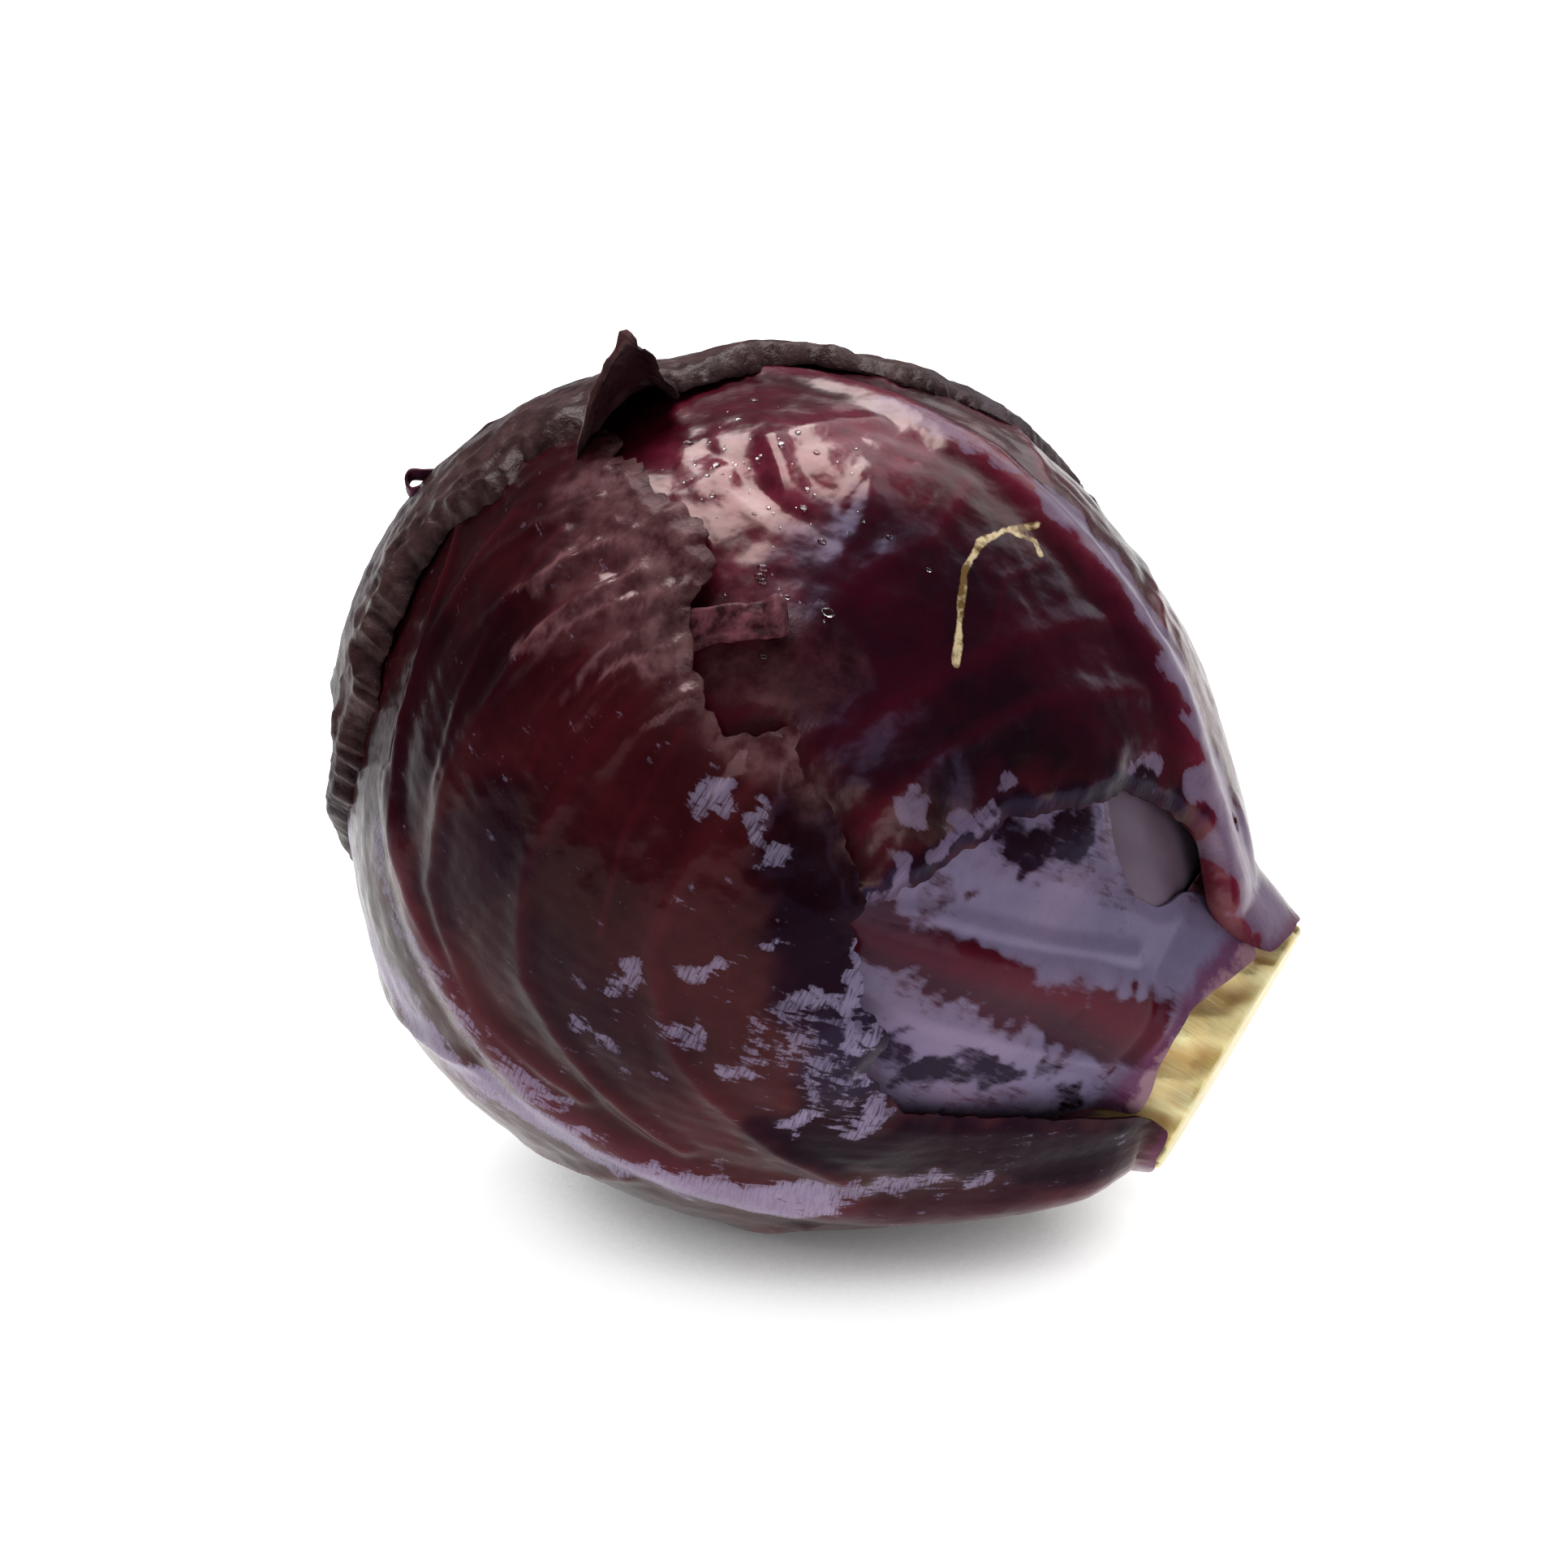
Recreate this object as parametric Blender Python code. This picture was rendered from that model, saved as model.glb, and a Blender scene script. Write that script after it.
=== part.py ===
"""A whole red cabbage head lying on its side, with its cut stalk to the front right."""

import math

import bpy
import numpy as np
from mathutils import Vector
from mathutils.geometry import delaunay_2d_cdt

# Sizes are in millimetres and degrees, and turn into metres when a mesh is made
MM = 0.001

# Head: the skin is a radius from one centre, by angle from the stalk's axis
CENTRE = np.array([-2.0, 0.0, 67.8])
AXIS_DIP = 25.0
SKIN_ANGLE = [0, 12, 20, 30, 40, 50, 60, 75, 90, 105, 120, 135, 150, 165, 180]
SKIN_RADIUS = [81, 79.4, 77.1, 73.5, 70.9, 69.9, 69.0, 69.0, 69.9, 71.2, 72.1, 72.0, 72.8, 75.2, 78.0]
SKIN_LEAN = [0, 0, -0.4, -0.7, -0.9, -0.6, -0.8, -0.5, 0.3, -0.7, -0.9, -0.3, 0, -0.4, 0]

# Layers: heights of the pieces below and above the skin
BLADE = 1.0
LAYER_GAP = 0.9
HEART_DEPTH = 4.0
INNER_LEAF_DEPTH = 2.9
OUTER_LEAF_DEPTH = 1.0
FEATHER_START = 4.0
FEATHER_SLOPE = 0.12

# Stalk: a cone that widens down from the cut
CUT_AT = 81.8
STALK_FOOT = 64.0
STALK_CUT_RADIUS = 22.5
STALK_FLARE = 0.33
STALK_LEAN = 2.2
STALK_GAP = 0.6
HEART_END = 63.4

# Mesh spacing
LEAF_SPACING = 6.1
EDGE_SPACING = 3.6
FIELD_SPACING = 2.5
STALK_SIDES = 44
HEART_SIDES = 44
HEART_ROWS = 24

# Leaves, from the innermost out. Points are angle from the stalk's axis, then angle round it
LEAVES = {
    "leaf_front_inner": dict(
        centre=(60, 18), depth=INNER_LEAF_DEPTH, ragged=0.3, colour=(0.10, 0.03, 0.09),
        outline=[(18.6, -4), (19.2, 17), (19.6, 33), (21, 49), (30, 47), (38, 46), (46, 52), (54, 60),
                 (66, 66), (82, 62), (96, 50), (104, 28), (100, 4), (84, -14), (64, -22), (44, -20),
                 (30, -14)],
        rib=[(20, 24), (33, 25), (48, 20), (64, 17), (84, 20)], rib_width=(17, 5), rib_height=(2.6, 0.3),
        veins=[[(29, 38), (41, 29), (56, 24), (68, 19)], [(24, 8), (40, 8), (56, 8), (70, 10)]],
        vein_height=0.9, vein_width=3.4, crinkle=0.15,
        lifts=[],
    ),
    "leaf_right": dict(
        centre=(85, 82), depth=OUTER_LEAF_DEPTH, ragged=1.0, colour=(0.09, 0.01, 0.03),
        outline=[(17.8, 112), (17.8, 98), (17.8, 82), (18.2, 70), (21, 62), (25, 61), (29, 65), (33, 68),
                 (38, 70), (42, 67), (46, 62), (49, 52), (54, 44), (58, 40), (61, 32), (64, 26), (67, 20),
                 (74, 10), (84, 3), (98, 7), (112, 20), (124, 35), (136, 48), (148, 60), (156, 85),
                 (153, 115), (143, 138), (125, 150), (100, 156), (75, 153), (50, 146), (32, 136), (22, 124)],
        rib=[(14, 66), (21, 69), (34, 81), (47, 86), (62, 88), (79, 88), (91, 87), (108, 90), (130, 92)],
        rib_width=(21, 9), rib_height=(3.1, 0.8),
        veins=[[(51, 78), (62, 59), (69, 42), (72, 28)], [(61, 82), (70, 61), (75, 48), (80, 36)],
               [(86, 79), (85, 67), (89, 56), (90, 44)], [(101, 82), (108, 70), (112, 58)],
               [(55, 96), (66, 116), (74, 136)], [(80, 96), (94, 118), (104, 138)],
               [(104, 98), (118, 112), (130, 126)]],
        vein_height=0.9, vein_width=4.4, crinkle=0.5,
        lifts=[(65, 23, 7, 1.6), (54, 45, 5, 0.9), (108, 68, 10, 0.9)],
    ),
    "leaf_under": dict(
        centre=(95, -32), depth=OUTER_LEAF_DEPTH, ragged=1.3, colour=(0.08, 0.01, 0.03),
        outline=[(16.2, -9), (20, -4), (26, -5), (33, -6), (42, -8), (49, -8), (56, -3), (57, 4), (62, 10),
                 (66, 16), (69, 22), (74, 27), (80, 31), (85, 35), (91, 29), (96, 32), (103, 41),
                 (104, 47), (108, 51), (113, 53), (118, 54), (123, 60), (130, 66), (140, 72), (151, 72),
                 (161, 50), (166, 0), (163, -60), (150, -92), (135, -110), (115, -122), (90, -128),
                 (65, -128), (45, -124), (30, -112), (20, -96), (15.4, -78), (15.2, -55), (15.6, -30)],
        rib=[(14, -38), (25, -38), (45, -41), (60, -36), (75, -34), (90, -31), (110, -21), (132, -6)],
        rib_width=(25, 9), rib_height=(2.9, 0.8),
        veins=[[(52, -28), (66, -18), (79, -9), (87, 4), (88, 15), (86, 27)],
               [(74, -27), (88, -20), (100, -10), (105, 4), (104, 22), (101, 34)],
               [(88, -25), (104, -21), (117, -10), (121, 6), (118, 26), (115, 44)],
               [(112, -18), (126, -12), (134, 3), (136, 22), (134, 44)],
               [(56, -50), (72, -72), (84, -94)], [(80, -42), (98, -62), (110, -86)],
               [(104, -34), (122, -50), (136, -74)]],
        vein_height=0.9, vein_width=4.4, crinkle=0.5,
        lifts=[(104, 44, 6, 1.0), (84, 34, 6, 1.0), (119, 55, 6, 0.8), (58, 4, 5, 0.8)],
    ),
    "leaf_back": dict(
        centre=(112, 180), depth=OUTER_LEAF_DEPTH, ragged=1.7, colour=(0.07, 0.04, 0.04),
        outline=[(17.5, 132), (16.9, 158), (16.2, -176), (15.7, -150), (20, -128), (40, -116), (65, -117),
                 (90, -110), (110, -94), (125, -70), (134, -48), (138, -31), (143, -15), (149, 1),
                 (153, 15), (153, 35), (146, 44), (142, 50), (138, 55), (135, 62), "flap", (126, 77),
                 (121, 84), (116, 93), (109, 98), (103, 98), (95, 103), (88, 106), (80, 107),
                 (74, 111), (68, 118), (60, 128), (50, 133), (40, 134), (32, 130), (25, 122), (20, 120)],
        rib=[(14, 180), (40, 182), (80, 184), (120, 186), (150, 190)], rib_width=(24, 8),
        rib_height=(3.6, 0.6),
        veins=[[(48, 176), (66, 154), (78, 128)], [(76, 178), (96, 152), (106, 122)],
               [(104, 180), (124, 150), (134, 118)], [(52, 190), (68, 210), (76, 232)],
               [(82, 192), (100, 218), (108, 246)], [(112, 194), (130, 226), (136, 262)],
               [(138, 186), (158, 140), (156, 84)], [(150, 200), (168, 250), (158, 330)]],
        vein_height=0.9, vein_width=4.4, crinkle=0.65,
        lifts=[(118, 89, 8, 2.0), (105, 97, 8, 1.6), (80, 98, 8, 0.9), (151, 20, 9, 0.8), (139, -28, 8, 0.8)],
    ),
}

# The flap of the back leaf: its fold, its length, where its tip stands and how far it turns
FLAP_FOLD = ((135, 62), (126, 77))
FLAP_LENGTH = 13.5
FLAP_TIP_ALONG = 0.92
FLAP_FOLD_TURN = 62.0
FLAP_CURL_TURN = 42.0

COLOURS = {"heart": (0.05, 0.02, 0.07), "stalk": (0.78, 0.68, 0.36)}


def unit(v):
    return v / np.linalg.norm(v, axis=-1, keepdims=True)


dip = math.radians(AXIS_DIP)
AXIS = np.array([math.cos(dip), 0.0, -math.sin(dip)])
FRONT = np.array([0.0, -1.0, 0.0])
TOP = np.cross(FRONT, AXIS)


def direction(angle, turn):
    """Unit directions from the centre, by angle from the axis and turn round it."""
    a = np.radians(np.asarray(angle, float))[..., None]
    t = np.radians(np.asarray(turn, float))[..., None]
    return np.cos(a) * AXIS + np.sin(a) * (np.cos(t) * FRONT + np.sin(t) * TOP)


def angles(d):
    a = np.degrees(np.arccos(np.clip(d @ AXIS, -1, 1)))
    return a, np.degrees(np.arctan2(d @ TOP, d @ FRONT))


def curve(x, xs, ys):
    """Smooth curve through points, with level ends."""
    xs = np.asarray(xs, float)
    ys = np.asarray(ys, float)
    slope = np.gradient(ys, xs)
    slope[0] = slope[-1] = 0.0
    k = np.clip(np.searchsorted(xs, x, side="right") - 1, 0, len(xs) - 2)
    w = xs[k + 1] - xs[k]
    t = np.clip((x - xs[k]) / w, 0, 1)
    a = (1 + 2 * t) * (1 - t) ** 2 * ys[k] + t * (1 - t) ** 2 * w * slope[k]
    return a + t * t * (3 - 2 * t) * ys[k + 1] + t * t * (t - 1) * w * slope[k + 1]


def skin(d):
    a, turn = angles(d)
    return curve(a, SKIN_ANGLE, SKIN_RADIUS) + curve(a, SKIN_ANGLE, SKIN_LEAN) * np.sin(np.radians(turn))


def resting(d, radius, height):
    """Radius held above the flat resting spot, where deeper layers stay parallel to it."""
    down = np.maximum(-d[..., 2], 1e-3)
    return np.minimum(radius, (CENTRE[2] + np.minimum(height, 0)) / down)


def bumps(d, step, seed):
    """Rounded bumps of about one step across, between -1 and 1."""
    rng = np.random.default_rng(seed)
    waves = unit(rng.normal(size=(7, 3))) * (360 / step)
    shift = rng.uniform(0, 2 * math.pi, 7)
    return np.sin(d @ waves.T + shift).sum(axis=-1) / 3.2


# Charts: each leaf is drawn flat, in degrees from its own centre

def chart_axes(leaf):
    c = direction(*leaf["centre"])
    ahead = unit(-AXIS - c * (c @ -AXIS))
    return c, ahead, np.cross(ahead, c)


def to_chart(leaf, d):
    c, ahead, side = chart_axes(leaf)
    away = np.degrees(np.arccos(np.clip(d @ c, -1, 1)))
    flat = np.stack([d @ ahead, d @ side], -1)
    return flat / np.maximum(np.linalg.norm(flat, axis=-1, keepdims=True), 1e-9) * away[..., None]


def from_chart(leaf, xy):
    c, ahead, side = chart_axes(leaf)
    away = np.radians(np.linalg.norm(xy, axis=-1, keepdims=True))
    way = xy / np.maximum(np.linalg.norm(xy, axis=-1, keepdims=True), 1e-9)
    return np.cos(away) * c + np.sin(away) * (way[..., :1] * ahead + way[..., 1:] * side)


def path(leaf, points):
    return to_chart(leaf, direction([p[0] for p in points], [p[1] for p in points]))


def near_path(xy, line):
    """Distance to a line of points, share of its length passed, and which side."""
    best = np.full(len(xy), 1e9)
    share = np.zeros(len(xy))
    lengths = np.linalg.norm(np.diff(line, axis=0), axis=1)
    start = np.concatenate([[0], np.cumsum(lengths)])
    for k, (a, b) in enumerate(zip(line[:-1], line[1:])):
        t = np.clip((xy - a) @ (b - a) / lengths[k] ** 2, 0, 1)
        gap = np.linalg.norm(xy - a - t[:, None] * (b - a), axis=1)
        closer = gap < best
        best[closer] = gap[closer]
        share[closer] = (start[k] + t[closer] * lengths[k]) / start[-1]
    return best, share


def inside(xy, ring):
    odd = np.zeros(len(xy), bool)
    for a, b in zip(ring, np.roll(ring, -1, axis=0)):
        crosses = (a[1] > xy[:, 1]) != (b[1] > xy[:, 1])
        at = a[0] + (xy[:, 1] - a[1]) / (b[1] - a[1] + 1e-12) * (b[0] - a[0])
        odd ^= crosses & (xy[:, 0] < at)
    return odd


MM_PER_DEGREE = 1.27


def flap_frame(leaf):
    a, b = path(leaf, FLAP_FOLD)
    along = (b - a) / np.linalg.norm(b - a)
    out = np.array([along[1], -along[0]])
    if out @ (to_chart(leaf, direction(110, 45)) - a) < 0:
        out = -out
    return a, b, along, out


def outline_of(leaf):
    """The leaf's outline in its chart, cut into short steps and made ragged."""
    corners = []
    for p in leaf["outline"]:
        if p == "flap":
            a, b, along, out = flap_frame(leaf)
            long = FLAP_LENGTH / MM_PER_DEGREE
            width = np.linalg.norm(b - a)
            corners.append(a + along * 0.38 * width + out * 0.5 * long)
            corners.append(a + along * FLAP_TIP_ALONG * width + out * long)
            corners.append(a + along * 1.0 * width + out * 0.5 * long)
        else:
            corners.append(path(leaf, [p])[0])
    corners = np.array(corners)
    ring = []
    for a, b in zip(corners, np.roll(corners, -1, axis=0)):
        n = max(1, round(np.linalg.norm(b - a) * MM_PER_DEGREE / EDGE_SPACING))
        ring += [a + (b - a) * k / n for k in range(n)]
    ring = np.array(ring)
    ahead = np.roll(ring, -1, axis=0) - np.roll(ring, 1, axis=0)
    normal = unit(np.stack([ahead[:, 1], -ahead[:, 0]], -1))
    d = from_chart(leaf, ring)
    wave = bumps(d, 9, 11) * 0.6 + bumps(d, 5, 12) * 0.4
    firm = np.clip((angles(d)[0] - 24) / 14, 0, 1)
    return ring + normal * (wave * firm * leaf["ragged"] / MM_PER_DEGREE)[:, None]


def ridge(gap, width):
    """A rounded ridge across its width: 1 at the crest, 0 at the sides."""
    return np.cos(np.clip(gap / width, 0, 1) * math.pi / 2) ** 2


def thickness(leaf, xy):
    """Blade with its midrib and side veins."""
    gap, share = near_path(xy, leaf["rib_line"])
    wide = np.interp(share, [0, 1], leaf["rib_width"]) / MM_PER_DEGREE / 2
    tall = np.interp(share, [0, 1], leaf["rib_height"])
    thick = BLADE + tall * ridge(gap, wide * 1.25)
    for line in leaf["vein_lines"]:
        gap, share = near_path(xy, line)
        wide = leaf["vein_width"] / MM_PER_DEGREE
        thick = np.maximum(thick, BLADE + leaf["vein_height"] * (1 - 0.5 * share) * ridge(gap, wide))
    return thick


def rise(leaf, xy):
    """How far the whole blade stands off: crinkles that grow to the edge, and lifted corners."""
    d = from_chart(leaf, xy)
    edge, _ = near_path(xy, np.vstack([leaf["ring"], leaf["ring"][:1]]))
    loose = np.exp(-edge * MM_PER_DEGREE / 9)
    firm = np.clip((angles(d)[0] - 26) / 20, 0, 1)
    lift = leaf["crinkle"] * firm * (0.25 + loose) * (0.9 + bumps(d, 16, 21) * 0.6 + bumps(d, 9, 22) * 0.3)
    for angle, turn, reach, high in leaf["lifts"]:
        away = np.degrees(np.arccos(np.clip(d @ direction(angle, turn), -1, 1)))
        lift = lift + high * np.exp(-((away / reach) ** 2)) * (0.3 + 0.7 * loose)
    return np.maximum(lift, 0)


def base_height(leaf, xy):
    """Height of the leaf's inner face, read from its field."""
    low, field = leaf["field"]
    at = (xy - low) / FIELD_SPACING
    k = np.clip(np.floor(at).astype(int), 0, np.array(field.shape) - 2)
    t = np.clip(at - k, 0, 1)
    i, j = k[:, 0], k[:, 1]
    a = field[i, j] * (1 - t[:, 1]) + field[i, j + 1] * t[:, 1]
    b = field[i + 1, j] * (1 - t[:, 1]) + field[i + 1, j + 1] * t[:, 1]
    return a * (1 - t[:, 0]) + b * t[:, 0]


def heights(leaf, xy):
    """Heights of the inner and outer faces over the skin."""
    low = base_height(leaf, xy) + rise(leaf, xy)
    return low, low + thickness(leaf, xy)


def lay_field(leaf, below):
    """Fills the leaf's field so that it clears every layer below by the gap."""
    low = leaf["ring"].min(axis=0) - 2 * FIELD_SPACING
    count = np.ceil((leaf["ring"].max(axis=0) + 2 * FIELD_SPACING - low) / FIELD_SPACING).astype(int) + 1
    x, y = np.meshgrid(*[low[k] + FIELD_SPACING * np.arange(count[k]) for k in (0, 1)], indexing="ij")
    d = from_chart(leaf, np.stack([x.ravel(), y.ravel()], -1))
    field = np.full(len(d), -leaf["depth"])
    for dirs, tops in below:
        away = np.degrees(np.arccos(np.clip(d @ dirs.T, -1, 1)))
        reach = tops - FEATHER_SLOPE * np.maximum(away - FEATHER_START, 0)
        field = np.maximum(field, reach.max(axis=1) + LAYER_GAP)
    leaf["field"] = (low, field.reshape(x.shape))


def tops_of(leaf):
    """Directions and outer heights over the whole leaf, for the leaves above it."""
    low, high = leaf["ring"].min(axis=0), leaf["ring"].max(axis=0)
    x, y = np.meshgrid(*[np.arange(low[k], high[k], FIELD_SPACING) for k in (0, 1)], indexing="ij")
    xy = np.stack([x.ravel(), y.ravel()], -1)
    xy = np.vstack([xy[inside(xy, leaf["ring"])], leaf["ring"]])
    d = from_chart(leaf, xy)
    return d, heights(leaf, xy)[1]


def clear_of_stalk(d, radius, gap):
    """Radius kept outside the stalk's cone by the gap."""
    a, turn = angles(d)
    a = np.radians(a)
    k = STALK_CUT_RADIUS + STALK_LEAN * np.sin(np.radians(turn)) + gap + STALK_FLARE * CUT_AT
    return np.where(a < 0.6, np.maximum(radius, k / (np.sin(a) + STALK_FLARE * np.cos(a))), radius)


def faces_of(leaf, xy):
    """Points of the leaf's inner and outer faces."""
    low, high = heights(leaf, xy)
    flapping = np.zeros(len(xy), bool)
    if "flap" in leaf["outline"]:
        a, b, along, out = flap_frame(leaf)
        q = (xy - a) @ out
        s = (xy - a) @ along
        flapping = (q > 0) & (s > -2) & (s < np.linalg.norm(b - a) + 2)
    foot = xy.copy()
    if flapping.any():
        foot[flapping] -= q[flapping, None] * out
    d = from_chart(leaf, foot)
    if flapping.any():
        low[flapping], high[flapping] = heights(leaf, foot[flapping])
    inner = clear_of_stalk(d, resting(d, skin(d) + low, low), STALK_GAP)
    thick = high - low
    outer = resting(d, inner + thick, high)
    outer = np.minimum(outer, CUT_AT / np.maximum(d @ AXIS, 0.2))
    inner = np.minimum(inner, outer - 0.7)
    low_points = CENTRE + d * inner[:, None]
    high_points = CENTRE + d * outer[:, None]
    if flapping.any():
        ways = unit(from_chart(leaf, foot[flapping] + 0.5 * out) - d[flapping])
        reach = np.linspace(0, 30, 301)
        turned = np.radians(FLAP_FOLD_TURN) * (1 - np.exp(-reach / 2.2))
        turned = turned + np.radians(FLAP_CURL_TURN) * reach / FLAP_LENGTH
        far = q[flapping] * MM_PER_DEGREE
        ahead = np.interp(far, reach, np.cumsum(np.cos(turned)) * 0.1)
        up = np.interp(far, reach, np.cumsum(np.sin(turned)) * 0.1)
        bend = np.interp(far, reach, turned)
        at = low_points[flapping] + ways * ahead[:, None] + d[flapping] * up[:, None]
        facing = d[flapping] * np.cos(bend)[:, None] - ways * np.sin(bend)[:, None]
        low_points[flapping] = at
        high_points[flapping] = at + facing * BLADE
    return low_points, high_points


def make(name, points, faces, colour):
    mesh = bpy.data.meshes.new(name)
    mesh.from_pydata([tuple(p * MM) for p in points], [], [tuple(int(i) for i in f) for f in faces])
    mesh.update()
    obj = bpy.data.objects.new(name, mesh)
    material = bpy.data.materials.new(name)
    material.use_nodes = True
    shader = material.node_tree.nodes["Principled BSDF"]
    shader.inputs["Base Color"].default_value = (*colour, 1)
    shader.inputs["Roughness"].default_value = 0.4
    material.diffuse_color = (*colour, 1)
    mesh.materials.append(material)
    head.objects.link(obj)
    return obj


def make_leaf(name, leaf):
    """A sheet of triangles inside the outline, with crest lines kept, closed round the edge."""
    ring = leaf["ring"]
    step = LEAF_SPACING / MM_PER_DEGREE
    low, high = ring.min(axis=0), ring.max(axis=0)
    rows = []
    for k in range(int((high[0] - low[0]) / (step * 0.866)) + 1):
        x = low[0] + k * step * 0.866
        y = np.arange(low[1] + (k % 2) * step / 2, high[1], step)
        rows.append(np.stack([np.full(len(y), x), y], -1))
    grid = np.vstack(rows)
    closed = np.vstack([ring, ring[:1]])
    grid = grid[inside(grid, ring) & (near_path(grid, closed)[0] > step * 0.42)]
    lines = []
    for line, wanted in [(leaf["rib_line"], step)] + [(v, step) for v in leaf["vein_lines"]]:
        dense = []
        for a, b in zip(line[:-1], line[1:]):
            n = max(1, round(np.linalg.norm(b - a) / wanted))
            dense += [a + (b - a) * k / n for k in range(n)]
        dense = np.array(dense + [line[-1]])
        dense = dense[inside(dense, ring) & (near_path(dense, closed)[0] > step * 0.42)]
        for other in lines:
            dense = dense[near_path(dense, other)[0] > step * 0.4] if len(other) > 1 else dense
        if len(dense) > 1:
            lines.append(dense)
            grid = grid[near_path(grid, dense)[0] > step * 0.42]
    verts = [Vector(p) for p in ring]
    edges = [(k, (k + 1) % len(ring)) for k in range(len(ring))]
    for line in lines:
        for k in range(len(line)):
            if k:
                edges.append((len(verts) - 1, len(verts)))
            verts.append(Vector(line[k]))
    verts += [Vector(p) for p in grid]
    out = delaunay_2d_cdt(verts, edges, [list(range(len(ring)))], 1, 1e-6)
    flat = np.array([tuple(v) for v in out[0]])
    triangles = [tuple(f) for f in out[2]]
    used = sorted({i for f in triangles for i in f})
    index = {old: new for new, old in enumerate(used)}
    triangles = [tuple(index[i] for i in f) for f in triangles]
    flat = flat[used]
    for k, f in enumerate(triangles):
        (ax, ay), (bx, by), (cx, cy) = flat[list(f)]
        if (bx - ax) * (cy - ay) - (by - ay) * (cx - ax) < 0:
            triangles[k] = f[::-1]
    n = len(flat)
    inner, outer = faces_of(leaf, flat)
    faces = list(triangles) + [tuple(i + n for i in f[::-1]) for f in triangles]
    sides = {(f[k], f[(k + 1) % 3]) for f in triangles for k in range(3)}
    for a, b in sorted(sides):
        if (b, a) not in sides:
            faces += [(b, a, a + n), (b, a + n, b + n)]
    c, ahead, side = chart_axes(leaf)
    if np.cross(ahead, side) @ c < 0:
        faces = [f[::-1] for f in faces]
    make(name, np.vstack([outer, inner]), faces, leaf["colour"])


def revolve(name, rows, colour):
    """A closed body from rings of points, with a middle point at each end."""
    sides = len(rows[0])
    points = np.vstack(rows + [rows[0].mean(axis=0)[None], rows[-1].mean(axis=0)[None]])
    faces = []
    for k in range(len(rows) - 1):
        for i in range(sides):
            a, b = k * sides + i, k * sides + (i + 1) % sides
            faces += [(a, b, b + sides), (a, b + sides, a + sides)]
    first, last = len(points) - 2, len(points) - 1
    for i in range(sides):
        a, b = i, (i + 1) % sides
        faces += [(b, a, first), (a + (len(rows) - 1) * sides, b + (len(rows) - 1) * sides, last)]
    obj = make(name, points, faces, colour)
    return obj


def heart_height(d):
    """The inner head, with the steps of its own wrapped leaves."""
    a, turn = angles(d)
    ramp = ((turn + 0.55 * a + 40) / 120) % 1.0
    step = 0.9 * np.clip(ramp / 0.9, 0, 1) - 0.9 * np.clip((ramp - 0.9) / 0.1, 0, 1)
    return -HEART_DEPTH - 0.9 + step + bumps(d, 30, 31) * 0.15


def heart_radius(d):
    h = heart_height(d)
    return np.minimum(resting(d, skin(d) + h, h), HEART_END / np.maximum(d @ AXIS, 0.2))


def make_heart():
    turn = np.linspace(0, 360, HEART_SIDES, endpoint=False)
    rim = 26.0
    levels = [9, 18] + list(np.linspace(rim, 172, HEART_ROWS))
    rows = []
    for a in levels:
        d = direction(np.full(HEART_SIDES, a), turn)
        rows.append(CENTRE + d * heart_radius(d)[:, None])
    obj = revolve("heart", rows, COLOURS["heart"])
    tips = obj.data.vertices[len(obj.data.vertices) - 1]
    d = -AXIS
    tips.co = Vector((CENTRE + d * heart_radius(d[None])[0]) * MM)


def stalk_radius(t, turn):
    """Radius of the stalk's side: a flared cone with hollow leaf scars between thin edges."""
    r = STALK_CUT_RADIUS + STALK_FLARE * (CUT_AT - t) + STALK_LEAN * np.sin(np.radians(turn))
    for at, wide, deep in ((14, 20, 1.7), (44, 15, 1.3), (-24, 13, 1.0), (78, 20, 1.2), (120, 20, 1.5),
                           (165, 26, 1.3), (-145, 24, 1.5), (-100, 22, 1.4), (-58, 18, 1.0)):
        off = (turn - at + 180) % 360 - 180
        hollow = np.clip(1 - (off / wide) ** 2, 0, 1)
        r = r - deep * hollow * np.clip((t - 65.5) / 5, 0, 1) * np.clip(1.25 - (t - 68) / 14, 0.3, 1)
    return r


def make_stalk():
    turn = np.linspace(0, 360, STALK_SIDES, endpoint=False)
    rows = []
    for t, inset in ((CUT_AT, 11), (CUT_AT, 0.6), (CUT_AT - 0.6, 0), (79, 0), (76, 0), (73, 0), (70, 0),
                     (67, 0), (STALK_FOOT, 0), (STALK_FOOT, 9)):
        r = stalk_radius(np.full(STALK_SIDES, t), turn) - inset
        a = np.radians(turn)[:, None]
        rows.append(CENTRE + AXIS * t + r[:, None] * (np.cos(a) * FRONT + np.sin(a) * TOP))
    revolve("stalk", rows, COLOURS["stalk"])


for obj in list(bpy.data.objects):
    bpy.data.objects.remove(obj, do_unlink=True)
head = bpy.data.collections.new("cabbage_head")
bpy.context.scene.collection.children.link(head)

make_stalk()
make_heart()
a, turn = np.meshgrid(np.arange(20, 181, 4), np.arange(0, 360, 4), indexing="ij")
ways = direction(a.ravel(), turn.ravel())
layers = [(ways, heart_height(ways))]
for name, leaf in LEAVES.items():
    leaf["ring"] = outline_of(leaf)
    leaf["rib_line"] = path(leaf, leaf["rib"])
    leaf["vein_lines"] = [path(leaf, v) for v in leaf["veins"]]
    lay_field(leaf, layers)
    layers.append(tops_of(leaf))
    make_leaf(name, leaf)
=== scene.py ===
import math
import bpy
import numpy as np
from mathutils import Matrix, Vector
from mathutils.kdtree import KDTree


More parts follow.
